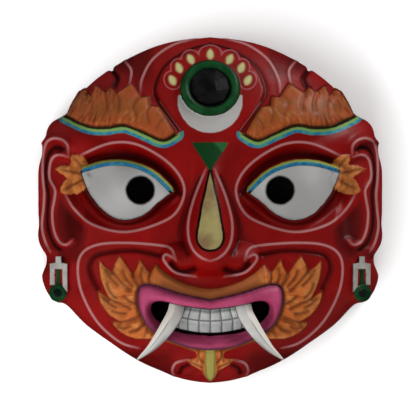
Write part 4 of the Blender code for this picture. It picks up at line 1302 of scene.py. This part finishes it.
# Pieces
def surface_tree(mesh):
    """Search tree over a mesh, to drop points onto it."""
    return BVHTree.FromPolygons([vertex.co for vertex in mesh.vertices],
                                [tuple(face.vertices) for face in mesh.polygons])


def drop_onto(surface, x, y):
    """Height of a surface at a place seen from the front."""
    hit = surface.ray_cast(Vector((x, y, 1.0)), Vector((0, 0, -1)))
    return hit[0].z if hit[0] else 0.0


def make_face():
    """The whole mask shell: painted face, plain hollow back and the rim between them."""
    front, station, front_faces, front_rim = skin(FACE_CELLS, SHOULDER_RINGS, SIDE_RINGS,
                                                  face_surface)
    back, _, back_faces, back_rim = skin(BACK_CELLS, SHOULDER_RINGS // 2, SIDE_RINGS, back_surface)
    offset = len(front)
    per_cell = FACE_CELLS // BACK_CELLS
    faces = front_faces + [tuple(offset + v for v in reversed(face)) for face in back_faces]
    for k, start in enumerate(back_rim):
        end = back_rim[(k + 1) % len(back_rim)]
        outer = [front_rim[(k * per_cell + step) % len(front_rim)] for step in range(per_cell + 1)]
        faces.append(tuple(outer[::-1] + [offset + start, offset + end]))
    mesh = bpy.data.meshes.new("painted_face")
    points = np.vstack([front, back])
    shift = -(front[:, 1].min() + front[:, 1].max()) / 2
    points[:, 1] += shift
    mesh.from_pydata((points * PART).tolist(), [], faces)
    face = add_object(mesh, face_material(), back_material())
    slots = np.zeros(len(faces), np.int32)
    slots[len(front_faces):] = 1
    mesh.polygons.foreach_set("material_index", slots)

    plain = dict.fromkeys(("line_near", "line_side", "from_lid", "plaque_near", "plaque_side",
                           "light_near", "light_side"), INSIDE)
    # The side wall past the painting gets an even painted shade
    plain["shade"] = SIDE_SHADE
    for name, values in paint_values(front[:, 0], front[:, 1]).items():
        far = plain.get(name, OUTSIDE)
        values = np.where(station > PAINTED_REACH, far, values)
        store(mesh, name, np.concatenate([values, np.full(len(back), far)]))
    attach(face, "root")
    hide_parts("mask_shell")
    return surface_tree(mesh), shift


def make_disc():
    """Dark faceted glass in the forehead ring: a low crown cut to an off-centre table."""
    corner_low, corner_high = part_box("forehead_disc")
    centre = (corner_low + corner_high) / 2
    normal = Vector(ring_seat()[1])
    turn = normal.to_track_quat("Z", "Y")
    radius = DISC_RADIUS * PART
    low, girdle, high = DISC_LEVELS
    form = bmesh.new()
    rims = []
    for level in (low, girdle):
        angles = [2 * math.pi * (k + DISC_TURN) / DISC_SIDES for k in range(DISC_SIDES)]
        rims.append([form.verts.new((radius * math.cos(angle), radius * math.sin(angle), level))
                     for angle in angles])
    for k in range(DISC_SIDES):
        after = (k + 1) % DISC_SIDES
        form.faces.new((rims[0][k], rims[0][after], rims[1][after], rims[1][k]))
    form.faces.new(rims[0][::-1])
    for x, y in DISC_TABLE:
        form.verts.new((x * radius, y * radius, high))
    hull = [vert for vert in form.verts if vert.co.z > low + 1e-6]
    bmesh.ops.convex_hull(form, input=hull, use_existing_faces=True)
    inner = [face for face in form.faces if all(abs(v.co.z - girdle) < 1e-6 for v in face.verts)]
    bmesh.ops.delete(form, geom=inner, context="FACES")
    mesh = mesh_from(form, "faceted_disc")
    mesh.transform(Matrix.Translation(Vector(centre)) @ turn.to_matrix().to_4x4())
    disc = add_object(mesh, glass_material())
    mesh.shade_flat()
    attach(disc, "root")
    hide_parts("forehead_disc")


def tusk_heights(surface, line, shift):
    """Height of the tusk's middle line: up from its socket over the lip, then down to its tip."""
    ground = [drop_onto(surface, x * PART, (y + shift) * PART) for x, y in line]
    half = TUSK_THICKNESS / 2 * PART
    in_mouth = [height for height, (x, y) in zip(ground, line) if y < MOUTH[1][1]]
    root = min(ground[1:4]) + half - TUSK_SOCKET_DEPTH * PART
    over_lip = max(in_mouth) + half + TUSK_CLEARANCE * PART
    heights = []
    for k in range(len(line)):
        share = k / (len(line) - 1)
        lift = math.sin(math.pi / 2 * min(1, share / TUSK_OVER_LIP))
        fall = max(0, share - TUSK_OVER_LIP) / (1 - TUSK_OVER_LIP)
        heights.append(root + (over_lip - root) * lift - TUSK_DROOP * PART * fall ** 2)
    return heights


def make_tusk(name, node_name, surface, side, shift, material):
    """Curved white tusk, flat in front with bevelled edges that meet in its tip."""
    line = curve(TUSK_LINE, steps=8)
    heights = tusk_heights(surface, line, shift)
    last = len(line) - 1
    form = bmesh.new()
    rings = []
    for k, (x, y) in enumerate(line):
        taper = 1 - (k / last) ** TUSK_TAPER
        half_wide = TUSK_WIDTH / 2 * ((1 - TUSK_TIP_WIDE) * taper + TUSK_TIP_WIDE)
        half_thick = TUSK_THICKNESS / 2 * ((1 - TUSK_TIP_THICK) * taper + TUSK_TIP_THICK)
        ahead = line[min(k + 1, last)] - line[max(k - 1, 0)]
        across = np.array([-ahead[1], ahead[0]]) / np.hypot(*ahead)
        ring = []
        for out, up in TUSK_SECTION:
            place_x, place_y = np.array([x, y]) + across * half_wide * out
            ring.append(form.verts.new((place_x * side * PART, (place_y + shift) * PART,
                                        heights[k] + half_thick * up * PART)))
        rings.append(ring)
    count = len(TUSK_SECTION)
    for lower, upper in zip(rings[:-1], rings[1:]):
        for k in range(count):
            after = (k + 1) % count
            form.faces.new((lower[k], lower[after], upper[after], upper[k]))
    form.faces.new(rings[0][::-1])
    form.faces.new(rings[-1])
    mesh = mesh_from(form, name)
    store(mesh, "across", np.tile([out for out, _ in TUSK_SECTION], len(line)))
    store(mesh, "lengthwise", np.repeat(np.arange(len(line)) / last, count))
    tusk = add_object(mesh, material)
    mesh.set_sharp_from_angle(angle=math.radians(TUSK_SHARP))
    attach(tusk, "root")
    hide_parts(node_name)


def add_plate(name, outline, place, top, material):
    """Flat plate with softened edges, from an outline on a tilted plane."""
    form = bmesh.new()
    corners = [form.verts.new((*point, PLATE_FOOT)) for point in outline]
    face = form.faces.new(corners)
    made = bmesh.ops.extrude_face_region(form, geom=[face])
    raised = [item for item in made["geom"] if isinstance(item, bmesh.types.BMVert)]
    bmesh.ops.translate(form, vec=(0, 0, top - PLATE_FOOT), verts=raised)
    edges = [edge for edge in form.edges
             if all(vert.co.z > PLATE_FOOT + 1e-6 for vert in edge.verts)]
    bmesh.ops.bevel(form, geom=edges, offset=PLATE_BEVEL, segments=2, affect="EDGES")
    mesh = mesh_from(form, name)
    mesh.transform(place)
    piece = add_object(mesh, material)
    mesh.set_sharp_from_angle(angle=math.radians(PLATE_SHARP))
    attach(piece, "root")


def make_ear_ornament(name, surface, side, shift, materials):
    """Clasp, stem and drop that hang on the lobe of an ear."""
    white, green, dark = materials
    probes = []
    for x, y in LOBE_PROBES:
        height = drop_onto(surface, x * PART, (y + shift) * PART) / PART
        probes.append(Vector((x * side, y, height)))
    normal = (probes[1] - probes[0]).cross(probes[2] - probes[0]).normalized()
    if normal.z < 0:
        normal = -normal
    sheer_x, sheer_y = -normal.x / normal.z, -normal.y / normal.z
    base = max(drop_onto(surface, x * PART, (y + shift) * PART) / PART
               - sheer_x * x * side - sheer_y * y for x, y in CLASP + CLASP_ARM) - CLASP_SINK
    place = Matrix(((PART, 0, 0, 0), (0, PART, 0, shift * PART),
                    (sheer_x * PART, sheer_y * PART, PART, base * PART), (0, 0, 0, 1)))
    clasp = [(x * side, y) for x, y in CLASP]
    stem = [(x * side, y) for x, y in STEM]
    add_plate(name + "_clasp", clasp, place, CLASP_HIGH, white)
    add_plate(name + "_stem", stem, place, STEM_HIGH, green)
    for part_name, sizes, material in (("_drop", DROP, green), ("_eye", DROP_EYE, dark)):
        radius, high, level = sizes
        form = bmesh.new()
        bmesh.ops.create_uvsphere(form, u_segments=BEAD_SEGMENTS, v_segments=BEAD_SEGMENTS // 2,
                                  radius=1.0)
        mesh = mesh_from(form, name + part_name)
        mesh.transform(place @ Matrix.Translation((DROP_CENTRE[0] * side, DROP_CENTRE[1], level))
                       @ Matrix.Diagonal((radius, radius, high, 1)))
        piece = add_object(mesh, material)
        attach(piece, "root")


def make_floor():
    """Plain pale floor under the mask."""
    form = bmesh.new()
    bmesh.ops.create_grid(form, x_segments=1, y_segments=1, size=FLOOR_HALF)
    mesh = mesh_from(form, "floor")
    floor = bpy.data.objects.new("floor", mesh)
    bpy.context.scene.collection.objects.link(floor)
    mesh.materials.append(floor_material())
    floor.visible_glossy = False


def add_light(name, place, power, size, mirrored):
    """Soft square light that looks at the mask, and may show in its gloss."""
    lamp = bpy.data.lights.new(name, "AREA")
    lamp.energy = power * LIGHT_LEVEL
    lamp.size = size
    light = bpy.data.objects.new(name, lamp)
    light.location = place
    light.visible_glossy = mirrored
    aim = Vector(LOOKED_AT) - Vector(place)
    light.rotation_euler = aim.to_track_quat("-Z", "Y").to_euler()
    bpy.context.scene.collection.objects.link(light)


def light_scene():
    """Soft studio light: a wide key from the lower left, fills and one light for the gloss."""
    world = bpy.data.worlds.new("studio")
    bpy.context.scene.world = world
    world.use_nodes = True
    tree = world.node_tree
    in_gloss = shader_node(tree, "ShaderNodeLightPath", {}, "Is Glossy Ray")
    seen = shader_node(tree, "ShaderNodeMath", {0: 1.0, 1: in_gloss}, operation="SUBTRACT")
    sky = shader_node(tree, "ShaderNodeMath", {0: seen, 1: SKY * LIGHT_LEVEL}, operation="MULTIPLY")
    tree.links.new(sky, tree.nodes["Background"].inputs["Strength"])
    tree.nodes["Background"].inputs["Color"].default_value = (1, 1, 1, 1)
    for name, settings in LIGHTS.items():
        add_light(name, *settings)


def add_camera():
    """Camera straight above the face, as the photograph was taken."""
    camera_data = bpy.data.cameras.new("camera")
    camera_data.lens = LENS
    camera_data.sensor_width = SENSOR
    camera_data.clip_end = SIGHT_END
    camera = bpy.data.objects.new("camera", camera_data)
    distance = PICTURE_WIDE * PART * LENS / SENSOR
    camera.location = (CAMERA_SHIFT * PART, 0.0, LOOKED_AT[2] + distance)
    bpy.context.scene.collection.objects.link(camera)
    bpy.context.scene.camera = camera


bpy.context.scene.view_settings.view_transform = "Standard"
add_camera()
light_scene()
make_floor()
face_tree, row_shift = make_face()
make_disc()
tusk_enamel = tusk_material()
ornament_enamels = [enamel_material(name, colours) for name, colours in ORNAMENT_PAINTS.items()]
for turned, side_name in ((1, "left"), (-1, "right")):
    make_tusk(side_name + "_blade", side_name + "_tusk", face_tree, turned, row_shift, tusk_enamel)
    make_ear_ornament(side_name + "_ear", face_tree, turned, row_shift, ornament_enamels)
